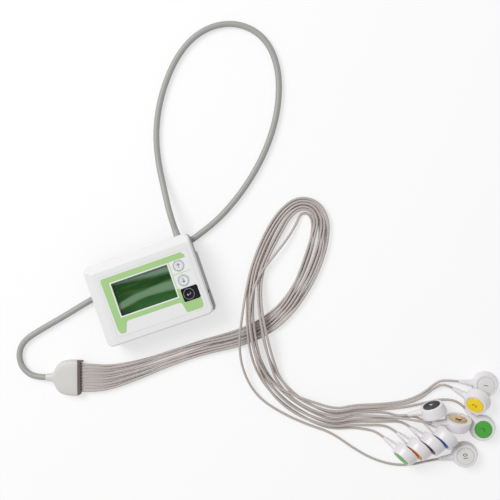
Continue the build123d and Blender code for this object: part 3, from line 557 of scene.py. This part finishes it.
tree.links.new(bare_end, shader.inputs["Metallic"])
tree.links.new(sleeve["Roughness"], shader.inputs["Roughness"])
for node in ("battery_cell_1", "battery_cell_2"):
    dress(node, cell_wrap)


# Circuit board and memory card. A green solder-masked board with copper tracks under the mask and
# black chips below it, cut out round the four screw bosses. The moulded memory card sits in its
# socket behind the flap.

solder_mask, tree, shader = finish("solder mask", Coat_Weight=0.3, Coat_Roughness=0.15)
tracks = add(tree, "TexBrick", {"Vector": own_place(tree), "Scale": 260.0, "Mortar Size": 0.06,
                                "Brick Width": 1.3, "Row Height": 0.42},
             offset_frequency=3).outputs["Fac"]
mask = place_effect(tree, moulded, Color=paint(24, 86, 46), Tone=0.08, Grain=1400.0,
                    Roughness=0.34)
over_copper = blended(tree, tracks, mask["Color"], paint(70, 130, 76))
tree.links.new(over_copper, shader.inputs["Base Color"])
tree.links.new(mask["Roughness"], shader.inputs["Roughness"])
bump(tree, shader, tracks, 0.4, 0.03)
dress("circuit_board", solder_mask)
dress("board_components", plastic("black epoxy", (34, 35, 37), grain=2600.0, tone=0.1,
                                  roughness=0.55, worn=(90, 90, 92), wear=0.4))
dress("memory_card", plastic("card shell", (24, 25, 28), grain=3000.0, tone=0.05, roughness=0.4,
                             worn=(80, 80, 84), wear=0.5))


# Cable bush and trunk cable. A soft PVC bush, moulded on the cable, holds it in the top wall; it is
# flanged inside and slims down to the cable outside. The trunk is a round ten-core cable in a pale
# grey, slightly limp jacket.

BUSH_X, BUSH_Z = 32.0, 13.0
BUSH_FOOT, BUSH_END = 25.45, 35.05  # where the bush starts behind the wall and ends outside
TRUNK_D, TRUNK_LENGTH = 4.5, 562
LIE = 2.4  # height of the cable's middle when it lies on the table
YOKE_X, YOKE_Y, YOKE_Z, YOKE_ANGLE = -71.6, -45.0, 3.6, -19.2
YOKE_BACK = 26.6  # from the comb's face to the end of the neck
NECK_LEAD = 8.6  # the trunk runs straight into the neck over this length
STAND_UP = Matrix.Rotation(-pi / 2, 3, "X")

trunk_jacket = plastic("trunk jacket", (167, 167, 163), grain=900.0, tone=0.04, roughness=0.4,
                       depth=0.012, dust=0.06)
bush_profile = [(0, 0), (3.6, 0), (3.8, 0.2), (3.8, 2.0), (3.6, 2.2), (3.15, 2.2), (3.15, 4.3),
                (3.05, 4.5), (2.62, 4.7), (2.56, 5.2), (2.48, 6.4), (2.4, 7.6), (2.34, 8.8),
                (2.3, BUSH_END - BUSH_FOOT), (0, BUSH_END - BUSH_FOOT)]
bush_shape = moved(turned(bush_profile, 40), BUSH_X, BUSH_FOOT, BUSH_Z, STAND_UP)
bush = put_in_scene("cable_bush", joined_mesh("cable_bush", bush_shape),
                    plastic("bush rubber", (176, 178, 173), grain=2200.0, roughness=0.55, dust=0.1))
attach(bush, "recorder")
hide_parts("cable_gland")

along = Vector((cos(radians(YOKE_ANGLE)), sin(radians(YOKE_ANGLE)), 0))
across = Vector((-along.y, along.x, 0))
yoke_face = Vector((YOKE_X, YOKE_Y, YOKE_Z))
neck_end = yoke_face - along * YOKE_BACK
TRUNK_ROUTE = [
    (BUSH_X, BUSH_END, BUSH_Z), (BUSH_X, 47, BUSH_Z), (33, 65, 6.5), (34.5, 84, LIE),
    (39, 103, LIE), (47, 121, LIE), (58.5, 138, LIE), (72.5, 152.5, LIE), (88, 162, LIE),
    (104.5, 165, LIE), (120, 161.5, LIE), (132, 152, LIE), (138.5, 139, LIE), (139.5, 123, LIE),
    (135.5, 106, LIE), (126.5, 87, LIE), (113, 69, LIE), (98, 54.5, LIE), (81, 42, LIE),
    (62, 31.5, LIE), (41, 24.5, LIE), (18, 18.5, LIE), (-6, 14, LIE), (-29, 10, LIE),
    (-51, 6, LIE), (-72, 1.5, LIE), (-89, -1.6, LIE), (-102.5, -4.7, LIE), (-109.5, -10.2, LIE),
    (-112.5, -18.4, LIE), (-110.8, -26.8, 3.0), tuple(neck_end - along * NECK_LEAD),
    tuple(neck_end)]


def cord(node, route, diameter, material):
    """A cord along a smooth line, with the route's points as its control points."""
    curve = bpy.data.curves.new(node + "_line", "CURVE")
    curve.dimensions = "3D"
    spline = curve.splines.new("NURBS")
    spline.points.add(len(route) - 1)
    for point, place in zip(spline.points, route):
        point.co = (*mm(*place), 1)
    spline.order_u = 3
    spline.use_endpoint_u = True
    spline.resolution_u = 8
    curve.bevel_depth = diameter / 2 * 0.001
    curve.bevel_resolution = 4
    curve.use_fill_caps = True
    curve.materials.append(material)
    piece = bpy.data.objects.new(node + "_line", curve)
    bpy.context.scene.collection.objects.link(piece)
    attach(piece, "recorder")
    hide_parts(node)
    return piece


trunk = cord("trunk_cable", TRUNK_ROUTE, TRUNK_D, trunk_jacket)


# Yoke. The block in which the trunk divides is moulded over the joint in one shot with its neck, in
# light grey PVC. A thin dark rubber comb across its face holds the ten wires side by side.

WIRES, COMB_PITCH = 10, 2.16
MIDDLE_WIRE = (WIRES - 1) / 2
COMB_HALF_H = 2.7
TOOTH_FOOT, TOOTH_TIP = 0.85, 0.6  # half the width of one of the comb's teeth
NECK_R = 2.45
# From the neck's end to the comb: place behind the comb's face, half width, half height
YOKE_SECTIONS = [
    (-YOKE_BACK, NECK_R, NECK_R), (-26.2, 2.7, 2.6), (-23.4, 3.0, 2.8), (-21.4, 3.7, 3.05),
    (-20.3, 5.0, 3.2), (-19.4, 7.0, 3.3), (-18.2, 9.0, 3.4), (-16.4, 10.9, 3.5),
    (-14.0, 12.2, 3.55), (-11.0, 12.9, 3.58), (-7.5, 13.25, 3.6), (-2.9, 13.4, 3.6),
    (-2.5, 13.3, 3.5), (-2.35, 13.0, 3.25)]
ROUND_SECTION, BLOCK_SECTION = 2.0, 4.4  # squareness of a section: 2 is a circle
SQUARING = 8.0  # a section this much wider than the neck is fully square
SECTION_STEPS = 56
yoke_turn = Matrix.Rotation(radians(YOKE_ANGLE), 3, "Z")


def yoke_section(x, half_w, half_h):
    """A section across the yoke, round at the neck and nearly a box where it is wide."""
    wide = min(1, (half_w - NECK_R) / SQUARING)
    squareness = ROUND_SECTION + (BLOCK_SECTION - ROUND_SECTION) * wide
    loop = []
    for k in range(SECTION_STEPS):
        c, s = cos(2 * pi * k / SECTION_STEPS), sin(2 * pi * k / SECTION_STEPS)
        reach = (abs(c) ** squareness + abs(s) ** squareness) ** (-1 / squareness)
        loop.append((x, half_w * c * reach, half_h * s * reach))
    return loop


yoke_shape = moved(stacked([yoke_section(*section) for section in YOKE_SECTIONS]),
                   YOKE_X, YOKE_Y, YOKE_Z, yoke_turn)
yoke_plastic = plastic("yoke plastic", (218, 216, 213), grain=2000.0, tone=0.02, roughness=0.45,
                       dust=0.06)
yoke = put_in_scene("yoke_block", joined_mesh("yoke_block", yoke_shape), yoke_plastic, 50)
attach(yoke, "recorder")
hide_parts("yoke_neck", "yoke_body")

comb_outline = [(-2.9, -12.3), (-0.9, -12.3)]
for wire in range(WIRES):
    y = (wire - MIDDLE_WIRE) * COMB_PITCH
    comb_outline += [(-0.75, y - TOOTH_FOOT), (-0.1, y - TOOTH_TIP), (-0.1, y + TOOTH_TIP),
                     (-0.75, y + TOOTH_FOOT)]
comb_outline += [(-0.75, 11.4), (0.7, 11.5), (0.9, 12.6), (-2.9, 12.9)]
comb = cut_sheet("yoke_strip", [comb_outline], -COMB_HALF_H, COMB_HALF_H,
                 plastic("comb rubber", (104, 84, 88), grain=2400.0, tone=0.06, roughness=0.6,
                         dust=0.1))
comb.data.transform(Matrix.Translation(mm(YOKE_X, YOKE_Y, YOKE_Z)) @ yoke_turn.to_4x4())
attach(comb, "recorder")
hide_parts("yoke_comb")


# Snap connectors. Ten snaps, each a white plastic body moulded over its wire's end, with a ribbed
# tail, a coloured cap glued into its top, and underneath a pressed socket of nickel-plated brass
# that clips on an electrode's stud.

SNAP_R, SNAP_TOP_R, HALF_H = 9.3, 8.0, 3.8  # radius below and above, half the height
CAP_R, CAP_T, CAP_SEAT = 6.0, 1.0, 0.6  # the cap stands in a seat this deep
CAP_FOOT, CAP_TOP = HALF_H - CAP_SEAT, HALF_H - CAP_SEAT + CAP_T
SOCKET_R, STUD_R = 3.3, 2.05  # outside of the metal socket's tube, and its bore for the stud
TAIL_L, TAIL_R, TAIL_TIP_R = 9.5, 2.7, 1.32
TAIL_DROP = 0.3  # the tail lies this far under the middle of the body
RIBS, RIB_START, RIB_PITCH = 4, 11.0, 1.75
NUMBER_SIZE, NUMBER_PROUD = 4.6, 0.03
ABOVE_TABLE = 0.03
MOUNT_SNAP = 5  # the snap that the part gives as a mount for an electrode
PILE_X, PILE_Y, PILE_TURN = 126.7, -175.6, -19.2
PILE = Matrix.Translation(mm(PILE_X, PILE_Y, 0)) @ Matrix.Rotation(radians(PILE_TURN), 4, "Z")
# Each row: place in the pile (right, up), the way the cap faces (turn, tilt from upright), the way
# the tail leaves within the disc, and the colour of the cap.
SNAPS = [
    (62.3, 57.6, 0, 0, -84, "white"), (55.6, 45.8, 226, 38, 161, "yellow"),
    (60.8, 26.2, 0, 0, -41.5, "green"), (25.2, 40.2, 110, 76, 18, "black"),
    (42.6, 30.4, 264, 108, 189, "red"), (33.2, 20.0, 228, 70, 163, "blue"),
    (24.2, 15.6, 228, 70, 160, "violet"), (14.9, 11.6, 228, 70, 158, "orange"),
    (5.4, 7.7, 228, 72, 159, "green"), (48.5, 6.8, 0, 0, -100, "white")]
CAP_COLOURS = {"white": (232, 231, 228), "yellow": (255, 222, 18), "green": (70, 170, 52),
               "black": (30, 30, 33), "red": (190, 36, 40), "blue": (38, 84, 168),
               "violet": (96, 42, 74), "orange": (240, 140, 30)}
PALE_CAPS = ("white", "yellow", "green", "orange")


def snap_axes(turn, tilt, tail):
    """The way the cap faces and the way the tail points, in the pile's own axes."""
    turn, tilt, tail = radians(turn), radians(tilt), radians(tail)
    facing = Vector((sin(tilt) * cos(turn), sin(tilt) * sin(turn), cos(tilt)))
    level = Vector((-sin(turn), cos(turn), 0))
    downhill = Vector((cos(tilt) * cos(turn), cos(tilt) * sin(turn), -sin(tilt)))
    return facing, level * cos(tail) + downhill * sin(tail)


def snap_height(tilt):
    """Height of a snap's centre when its rim rests on the table."""
    s, c = sin(radians(tilt)), cos(radians(tilt))
    return max(SNAP_R * s + HALF_H * c, SNAP_TOP_R * s - HALF_H * c,
               CAP_R * s - CAP_TOP * c) + ABOVE_TABLE


def snap_place(u, v, turn, tilt, tail):
    """The matrix, in metres, that lays a snap built about its centre at its place in the pile."""
    facing, pointing = snap_axes(turn, tilt, tail)
    turned_by = Matrix((pointing, facing.cross(pointing), facing)).transposed().to_4x4()
    return PILE @ Matrix.Translation(mm(u, v, snap_height(tilt))) @ turned_by


def turned_profile(corners):
    """A (radius, height) outline with rounded corners, kept to its two ends."""
    first, *middle, last = corners
    return [tuple(p) for p in softened([(*first, 0), *middle, (*last, 0)], 3)]


body_profile = turned_profile([
    (0, -0.9), (SOCKET_R, -0.9, 0.05), (SOCKET_R, -3.3, 0.05), (6.35, -3.3, 0.1),
    (6.35, -HALF_H, 0.15), (SNAP_R, -HALF_H, 0.4), (SNAP_R, -1.75, 0.12),
    (SNAP_R - 0.28, -1.6, 0.06), (SNAP_R - 0.2, -1.4, 0.08), (SNAP_TOP_R, HALF_H, 0.5),
    (CAP_R + 0.35, HALF_H, 0.1), (CAP_R + 0.1, HALF_H - 0.25, 0.05), (CAP_R + 0.1, CAP_FOOT, 0),
    (0, CAP_FOOT)])
tail_base, tail_tip = 5.5, SNAP_R + TAIL_L
tail_profile = [(0, tail_base), (TAIL_R, tail_base), (2.75, 8.2), (2.62, 9.4), (2.4, 10.6)]
for rib in range(RIBS):
    at, thick = RIB_START + RIB_PITCH * rib, 2.34 - 0.21 * rib
    tail_profile += [(thick, at), (thick - 0.04, at + 0.85), (thick - 0.34, at + 1.0),
                     (thick - 0.36, at + 1.5)]
tail_profile += [(1.5, 18.2), (1.45, 18.6), (TAIL_TIP_R, tail_tip), (0, tail_tip)]
LIE_DOWN = Matrix.Rotation(pi / 2, 3, "Y")
tail_shape = moved(turned(tail_profile, 24), 0, 0, -TAIL_DROP, LIE_DOWN)
snap_body_mesh = joined_mesh("snap_body", turned(body_profile, 72), tail_shape)
snap_plastic = plastic("snap plastic", (238, 235, 238), grain=2600.0, tone=0.02, roughness=0.28)
cap_shape = turned(turned_profile([(0, CAP_FOOT), (CAP_R, CAP_FOOT, 0.05),
                                   (CAP_R, CAP_TOP - 0.06, 0.3), (0, CAP_TOP)]), 64)
socket_shape = turned(turned_profile([
    (STUD_R, -1.4), (STUD_R, -3.4, 0.25), (STUD_R + 0.5, -3.62, 0.1), (5.9, -3.62, 0.1),
    (6.2, -3.45, 0.1), (6.2, -3.32, 0), (SOCKET_R - 0.05, -3.32, 0),
    (SOCKET_R - 0.05, -1.4)]), 64, closed=True)

nickel, tree, shader = finish("nickel brass", Metallic=1.0)
place = own_place(tree)
tarnish = spread(tree, noise(tree, place, 300.0, 4.0), 0, 1, 0.4, 0.7)
turning = noise(tree, place, 2600.0, 3.0)
tree.links.new(blended(tree, tarnish, paint(222, 188, 122), paint(208, 204, 196)),
               shader.inputs["Base Color"])
tree.links.new(spread(tree, turning, 0.16, 0.34, 0.3, 0.7), shader.inputs["Roughness"])
bump(tree, shader, turning, 0.2, 0.01)

cap_plastics = {colour: plastic("cap " + colour, rgb, grain=3000.0, tone=0.03, roughness=0.3,
                                depth=0.01, wear=0.4,
                                worn=tuple(int(c + (255 - c) * 0.4) for c in rgb))
                for colour, rgb in CAP_COLOURS.items()}
dark_number = plastic("dark number", (52, 50, 52), grain=6000.0, roughness=0.4, depth=0.004)
pale_number = plastic("pale number", (232, 232, 228), grain=6000.0, roughness=0.4, depth=0.004)


def number_shape(text):
    """Points and faces of a plain number, standing a little proud of the cap's top."""
    letters = bpy.data.curves.new("number", "FONT")
    letters.body = text
    letters.size, letters.extrude = NUMBER_SIZE * 0.001, NUMBER_PROUD * 0.001
    letters.align_x, letters.align_y = "CENTER", "CENTER"
    pattern = bpy.data.objects.new("number", letters)
    cut = bpy.data.meshes.new_from_object(pattern)
    bpy.data.objects.remove(pattern)
    bpy.data.curves.remove(letters)
    return ([tuple(v.co * 1000) for v in cut.vertices],
            [list(face.vertices) for face in cut.polygons])


snap_pieces, tips = [], []
READ_FROM_TAIL = Matrix.Rotation(-pi / 2, 3, "Z")
for n, (u, v, turn, tilt, tail, colour) in enumerate(SNAPS, 1):
    place = snap_place(u, v, turn, tilt, tail)
    number = moved(number_shape(str(n)), 0, 0, CAP_TOP, READ_FROM_TAIL)
    body = put_in_scene(f"snap_{n}_shell", snap_body_mesh.copy(), snap_plastic)
    cap = put_in_scene(f"snap_{n}_cap", joined_mesh(f"snap_{n}_cap", cap_shape, number),
                       cap_plastics[colour])
    cap.data.materials.append(dark_number if colour in PALE_CAPS else pale_number)
    for face in list(cap.data.polygons)[-len(number[1]):]:
        face.material_index = 1
    socket = put_in_scene(f"snap_{n}_ring", joined_mesh(f"snap_{n}_ring", socket_shape), nickel)
    socket_node = "stud_socket" if n == MOUNT_SNAP else "snap_sockets"
    for piece, node, slot in ((body, f"snap_body_{n}", "snap_body"),
                              (cap, "snap_cap_" + colour, "cap_" + colour),
                              (socket, socket_node, "nickel_brass")):
        piece.data.transform(place)
        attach(piece, "recorder")
        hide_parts(node)
    snap_pieces.append([body, cap, socket])
    facing, pointing = snap_axes(turn, tilt, tail)
    centre = Vector((u, v, snap_height(tilt)))
    tips.append((centre - facing * TAIL_DROP + pointing * (SNAP_R + TAIL_L), pointing))


# Lead wires. Ten limp wires, stranded copper in a thin taupe PVC jacket, in a flat bundle of two
# layers from the comb to the snaps. They pass over themselves once, two of them stray out, and they
# fan out to the pile.

LEAD_D = 1.8
COMB_LEAD, TAIL_LEAD = 8.5, 7.0  # a wire leaves the comb and meets its snap straight
LOW, RIDE = 0.95, 7.65  # height on the table, and over the crossing
FIRST_STEP, STEP = 1.2, 1.85  # from layer to layer, at the first station and at the others
GAP_AFTER = 4  # the gap comes after this many wires
# Each station: x, y of the middle of the bundle and height of its lower layer; then how far the
# bundle lies to the left of that middle, the spacing between neighbouring wires, how far the upper
# layer slides to the left, and the gap in the bundle.
STATIONS = [
    (-51.5, -51.5, 1.7, -0.3, 1.85, 0.2, 0), (-28, -54, LOW, 0.3, 1.36, 0.8, 0.3),
    (-3, -54.8, LOW, 1, 1.05, 1.6, 1), (22, -54.6, LOW, 1.3, 0.95, 0.4, 1.2),
    (46, -53.5, LOW, -1, 0.95, -1.4, 1), (68, -50, LOW, -2.6, 0.97, -2, 0.5),
    (88, -43.5, LOW, -1.5, 1.1, -0.6, 0), (106, -33.5, LOW, 0.5, 1.2, 1.4, 0.5),
    (121, -20.5, LOW, 2, 1.2, 2.2, 1.5), (131, -6, LOW, 2.8, 1.15, 1, 1.5),
    (135, 7.5, LOW, 2.6, 1, -1, 1), (131.5, 19, LOW, 1.6, 0.96, -1.2, 0.6),
    (121.5, 25, LOW, 0.9, 0.95, 0.2, 0.3), (109, 21.5, LOW, 0.8, 1.05, 1, 0.5),
    (97, 12.5, LOW, 1.5, 1.1, 0.4, 1.5), (86.5, 0.5, LOW, 1, 1, -0.4, 1.5),
    (77.5, -13, 1.7, -1.2, 0.97, 0.2, 1), (70, -28, 4.6, -1.6, 1, 0.4, 2),
    (64, -44, RIDE, -1.2, 1.1, 1.2, 3), (59, -62, RIDE, -0.6, 1.25, 2.2, 3.6),
    (57.5, -79, 3.6, 0.2, 1.5, 1.2, 3), (61, -94.5, 1.2, 0.2, 1.6, -1.2, 2),
    (70, -109, LOW, -1.2, 1.6, -2.2, 1.4), (83, -121.5, LOW, -3, 1.6, -1.2, 1),
    (96, -130, LOW, -4.6, 1.6, 0.4, 1.2)]
# Single wires that stray out of the bundle: (wire, station) to distance to the left and upwards
STRAYS = {
    (0, 11): (0.2, 0), (0, 12): (2.4, 0.3), (0, 13): (6.6, 1.2), (0, 14): (5.4, 2.6),
    (0, 15): (2.4, 3.6), (0, 16): (-1.8, 3.7), (0, 17): (-7, 3.7), (0, 18): (-10, 3.7),
    (0, 19): (-10.5, 3.7), (0, 20): (-10.5, 3.7), (0, 21): (-9, 3.7), (0, 22): (-3.4, 3.7),
    (0, 23): (0.6, 3.7), (0, 24): (1.6, 3), (9, 6): (-0.5, 0), (9, 7): (-1.2, 0), (9, 8): (-1.8, 0),
    (9, 9): (-1.4, 0), (9, 10): (-0.4, 0), (9, 17): (-0.8, 0), (9, 18): (-3.6, 0), (9, 19): (-8, 0),
    (9, 20): (-8.5, 0), (9, 21): (-6.4, -0.8), (9, 22): (-1.6, -1.2), (9, 23): (-0.2, -1.2),
    (9, 24): (-1, -1.2)}
# The last points of each wire before its snap, in the pile's own axes
APPROACH = [
    [(-30, 40.8, LOW), (-17, 41.4, LOW), (-4, 42.6, LOW), (8, 44.8, LOW), (19, 50, LOW),
     (29.5, 59.5, 1.8)],
    [(-30, 38.9, 2.5), (-17, 39.5, 1.6), (-4, 40.6, LOW), (8, 42.6, LOW), (17.5, 46.6, LOW),
     (25.5, 53.6, 1.6)],
    [(-30, 37.2, LOW), (-17, 37.6, LOW), (-4, 38.6, LOW), (8, 40.2, LOW), (20, 43.2, LOW),
     (32, 46.6, 1.8)],
    [(-30, 35.6, 2.5), (-17, 36.3, 1.4), (-6, 35.8, 1.5)],
    [(-30, 33.4, LOW), (-18, 33.7, 2.8), (-6, 34, 6.4), (6, 33.4, 9.8)],
    [(-30, 31.2, 2.5), (-18, 31.4, 1.6), (-6, 31.6, 1.2), (4.5, 31.8, 1.2)],
    [(-30, 29, LOW), (-17, 28.9, LOW), (-6, 29.4, LOW)],
    [(-30, 26.8, 2.5), (-21, 26.5, 1.8), (-12.5, 26.8, 1.4)],
    [(-31, 24.5, LOW), (-22, 23.4, LOW)],
    [(-30, 9, LOW), (-17, 2, LOW), (-3, -2, LOW), (10.5, -1.9, LOW)]]


def lead_route(wire):
    """Route of one wire: comb, its lane through the stations, its own approach, its snap's tail."""
    place = MIDDLE_WIRE - wire
    centre = [Vector((YOKE_X, YOKE_Y, 0))] + [Vector((x, y, 0)) for x, y, *_ in STATIONS]
    comb_point = yoke_face + across * place * COMB_PITCH
    route = [comb_point, comb_point + along * COMB_LEAD]
    for k, (x, y, low, move, pitch, slide, gap) in enumerate(STATIONS):
        back = (centre[k + 1] - centre[k]).normalized()
        ahead = (centre[k + 2] - centre[k + 1]).normalized() if k + 2 < len(centre) else back
        mean = (back + ahead).normalized()
        side = Vector((-mean.y, mean.x, 0)) / mean.dot(back)
        aside, up = STRAYS.get((wire, k), (0, 0))
        beyond_gap = gap if wire < GAP_AFTER else 0
        shift = move + place * pitch + wire % 2 * slide + beyond_gap + aside
        point = centre[k + 1] + side * shift
        step = STEP if k else FIRST_STEP
        route.append(Vector((point.x, point.y, low + wire % 2 * step + up)))
    tip, pointing = tips[wire]
    last = [Vector(p) for p in APPROACH[wire]] + [tip + pointing * TAIL_LEAD, tip]
    return route + [(PILE @ mm(*p)) * 1000 for p in last]


lead_jacket = plastic("lead jacket", (192, 182, 177), grain=700.0, tone=0.06, roughness=0.3,
                      depth=0.006)
for wire in range(WIRES):
    route = lead_route(wire)
    lead = cord(f"lead_wire_{wire + 1}", route, LEAD_D, lead_jacket)


# Studio. A table of white paper that runs out of the picture on all sides, one large soft lamp
# from the upper left, an even white sky, and the camera where the photograph was taken from.

FLOOR_HALF, FLOOR_Z = 6.0, -0.0001  # in metres, a hair below the recorder's flat back
PAPER_GREY, PAPER_GLOW = (0.45, 0.45, 0.452, 1), (0.58, 0.58, 0.58, 1)
SKY_LIGHT, SKY_SEEN = 0.5, 1.0
LAMP_PLACE, LAMP_AIM = Vector((-0.50, 0.80, 1.15)), Vector((0.05, 0.0, 0.0))  # in metres
LAMP_SIZE, LAMP_POWER = 0.9, 12.0  # in metres and watts
CAMERA_PLACE = (140.5, 6.2, 675.0)
RIGHT, UP, BACK = (0.9408, -0.3276, -0.0872), (0.3258, 0.9448, -0.0346), (0.0937, 0.0042, 0.9956)
FOCAL, PICTURE = 933.0, 500.0  # the photograph's focal length and width, in its pixels
SENSOR = 36.0

floor_mesh = bpy.data.meshes.new("floor")
floor_mesh.from_pydata([(-FLOOR_HALF, -FLOOR_HALF, FLOOR_Z), (FLOOR_HALF, -FLOOR_HALF, FLOOR_Z),
                        (FLOOR_HALF, FLOOR_HALF, FLOOR_Z), (-FLOOR_HALF, FLOOR_HALF, FLOOR_Z)],
                       [], [(0, 1, 2, 3)])
floor_paper, tree, shader = finish("white paper", Roughness=0.9, Specular_IOR_Level=0.0,
                                   Emission_Strength=1.0)


def seen_rays(tree):
    """1 for the rays by which the camera sees a surface, directly, mirrored or through glass."""
    rays = add(tree, "LightPath").outputs
    direct = reckon(tree, "MAXIMUM", rays["Is Camera Ray"], rays["Is Glossy Ray"])
    return reckon(tree, "MAXIMUM", direct, rays["Is Transmission Ray"])


# To those rays the paper is a mid grey that glows by itself, so that its shadows stay as faint as
# on an evenly lit white table. To all others it is white and reflects what falls on it.
seen = seen_rays(tree)
fibre = noise(tree, own_place(tree), 900.0, 4.0)
white = blended(tree, fibre, paint(249, 249, 249), paint(252, 252, 252))
tree.links.new(blended(tree, seen, white, PAPER_GREY), shader.inputs["Base Color"])
tree.links.new(blended(tree, seen, (0, 0, 0, 1), PAPER_GLOW), shader.inputs["Emission Color"])
floor = put_in_scene("floor", floor_mesh, floor_paper)

world = bpy.data.worlds.new("studio")
bpy.context.scene.world = world
world.use_nodes = True
sky = world.node_tree
background = sky.nodes["Background"].inputs
background["Color"].default_value = (1, 1, 1, 1)
sky.links.new(spread(sky, seen_rays(sky), SKY_LIGHT, SKY_SEEN), background["Strength"])

light = bpy.data.lights.new("key_lamp", "AREA")
light.shape = "DISK"
light.size, light.energy = LAMP_SIZE, LAMP_POWER
lamp = bpy.data.objects.new("key_lamp", light)
lamp.location = LAMP_PLACE
lamp.rotation_euler = (LAMP_AIM - LAMP_PLACE).to_track_quat("-Z", "Y").to_euler()
bpy.context.scene.collection.objects.link(lamp)

camera_data = bpy.data.cameras.new("camera")
camera_data.sensor_width = SENSOR
camera_data.lens = SENSOR * FOCAL / PICTURE
camera = bpy.data.objects.new("camera", camera_data)
camera.matrix_world = (Matrix.Translation(mm(*CAMERA_PLACE))
                       @ Matrix((RIGHT, UP, BACK)).transposed().to_4x4())
bpy.context.scene.collection.objects.link(camera)
bpy.context.scene.camera = camera
bpy.context.scene.view_settings.view_transform = "Standard"

bpy.context.view_layer.update()
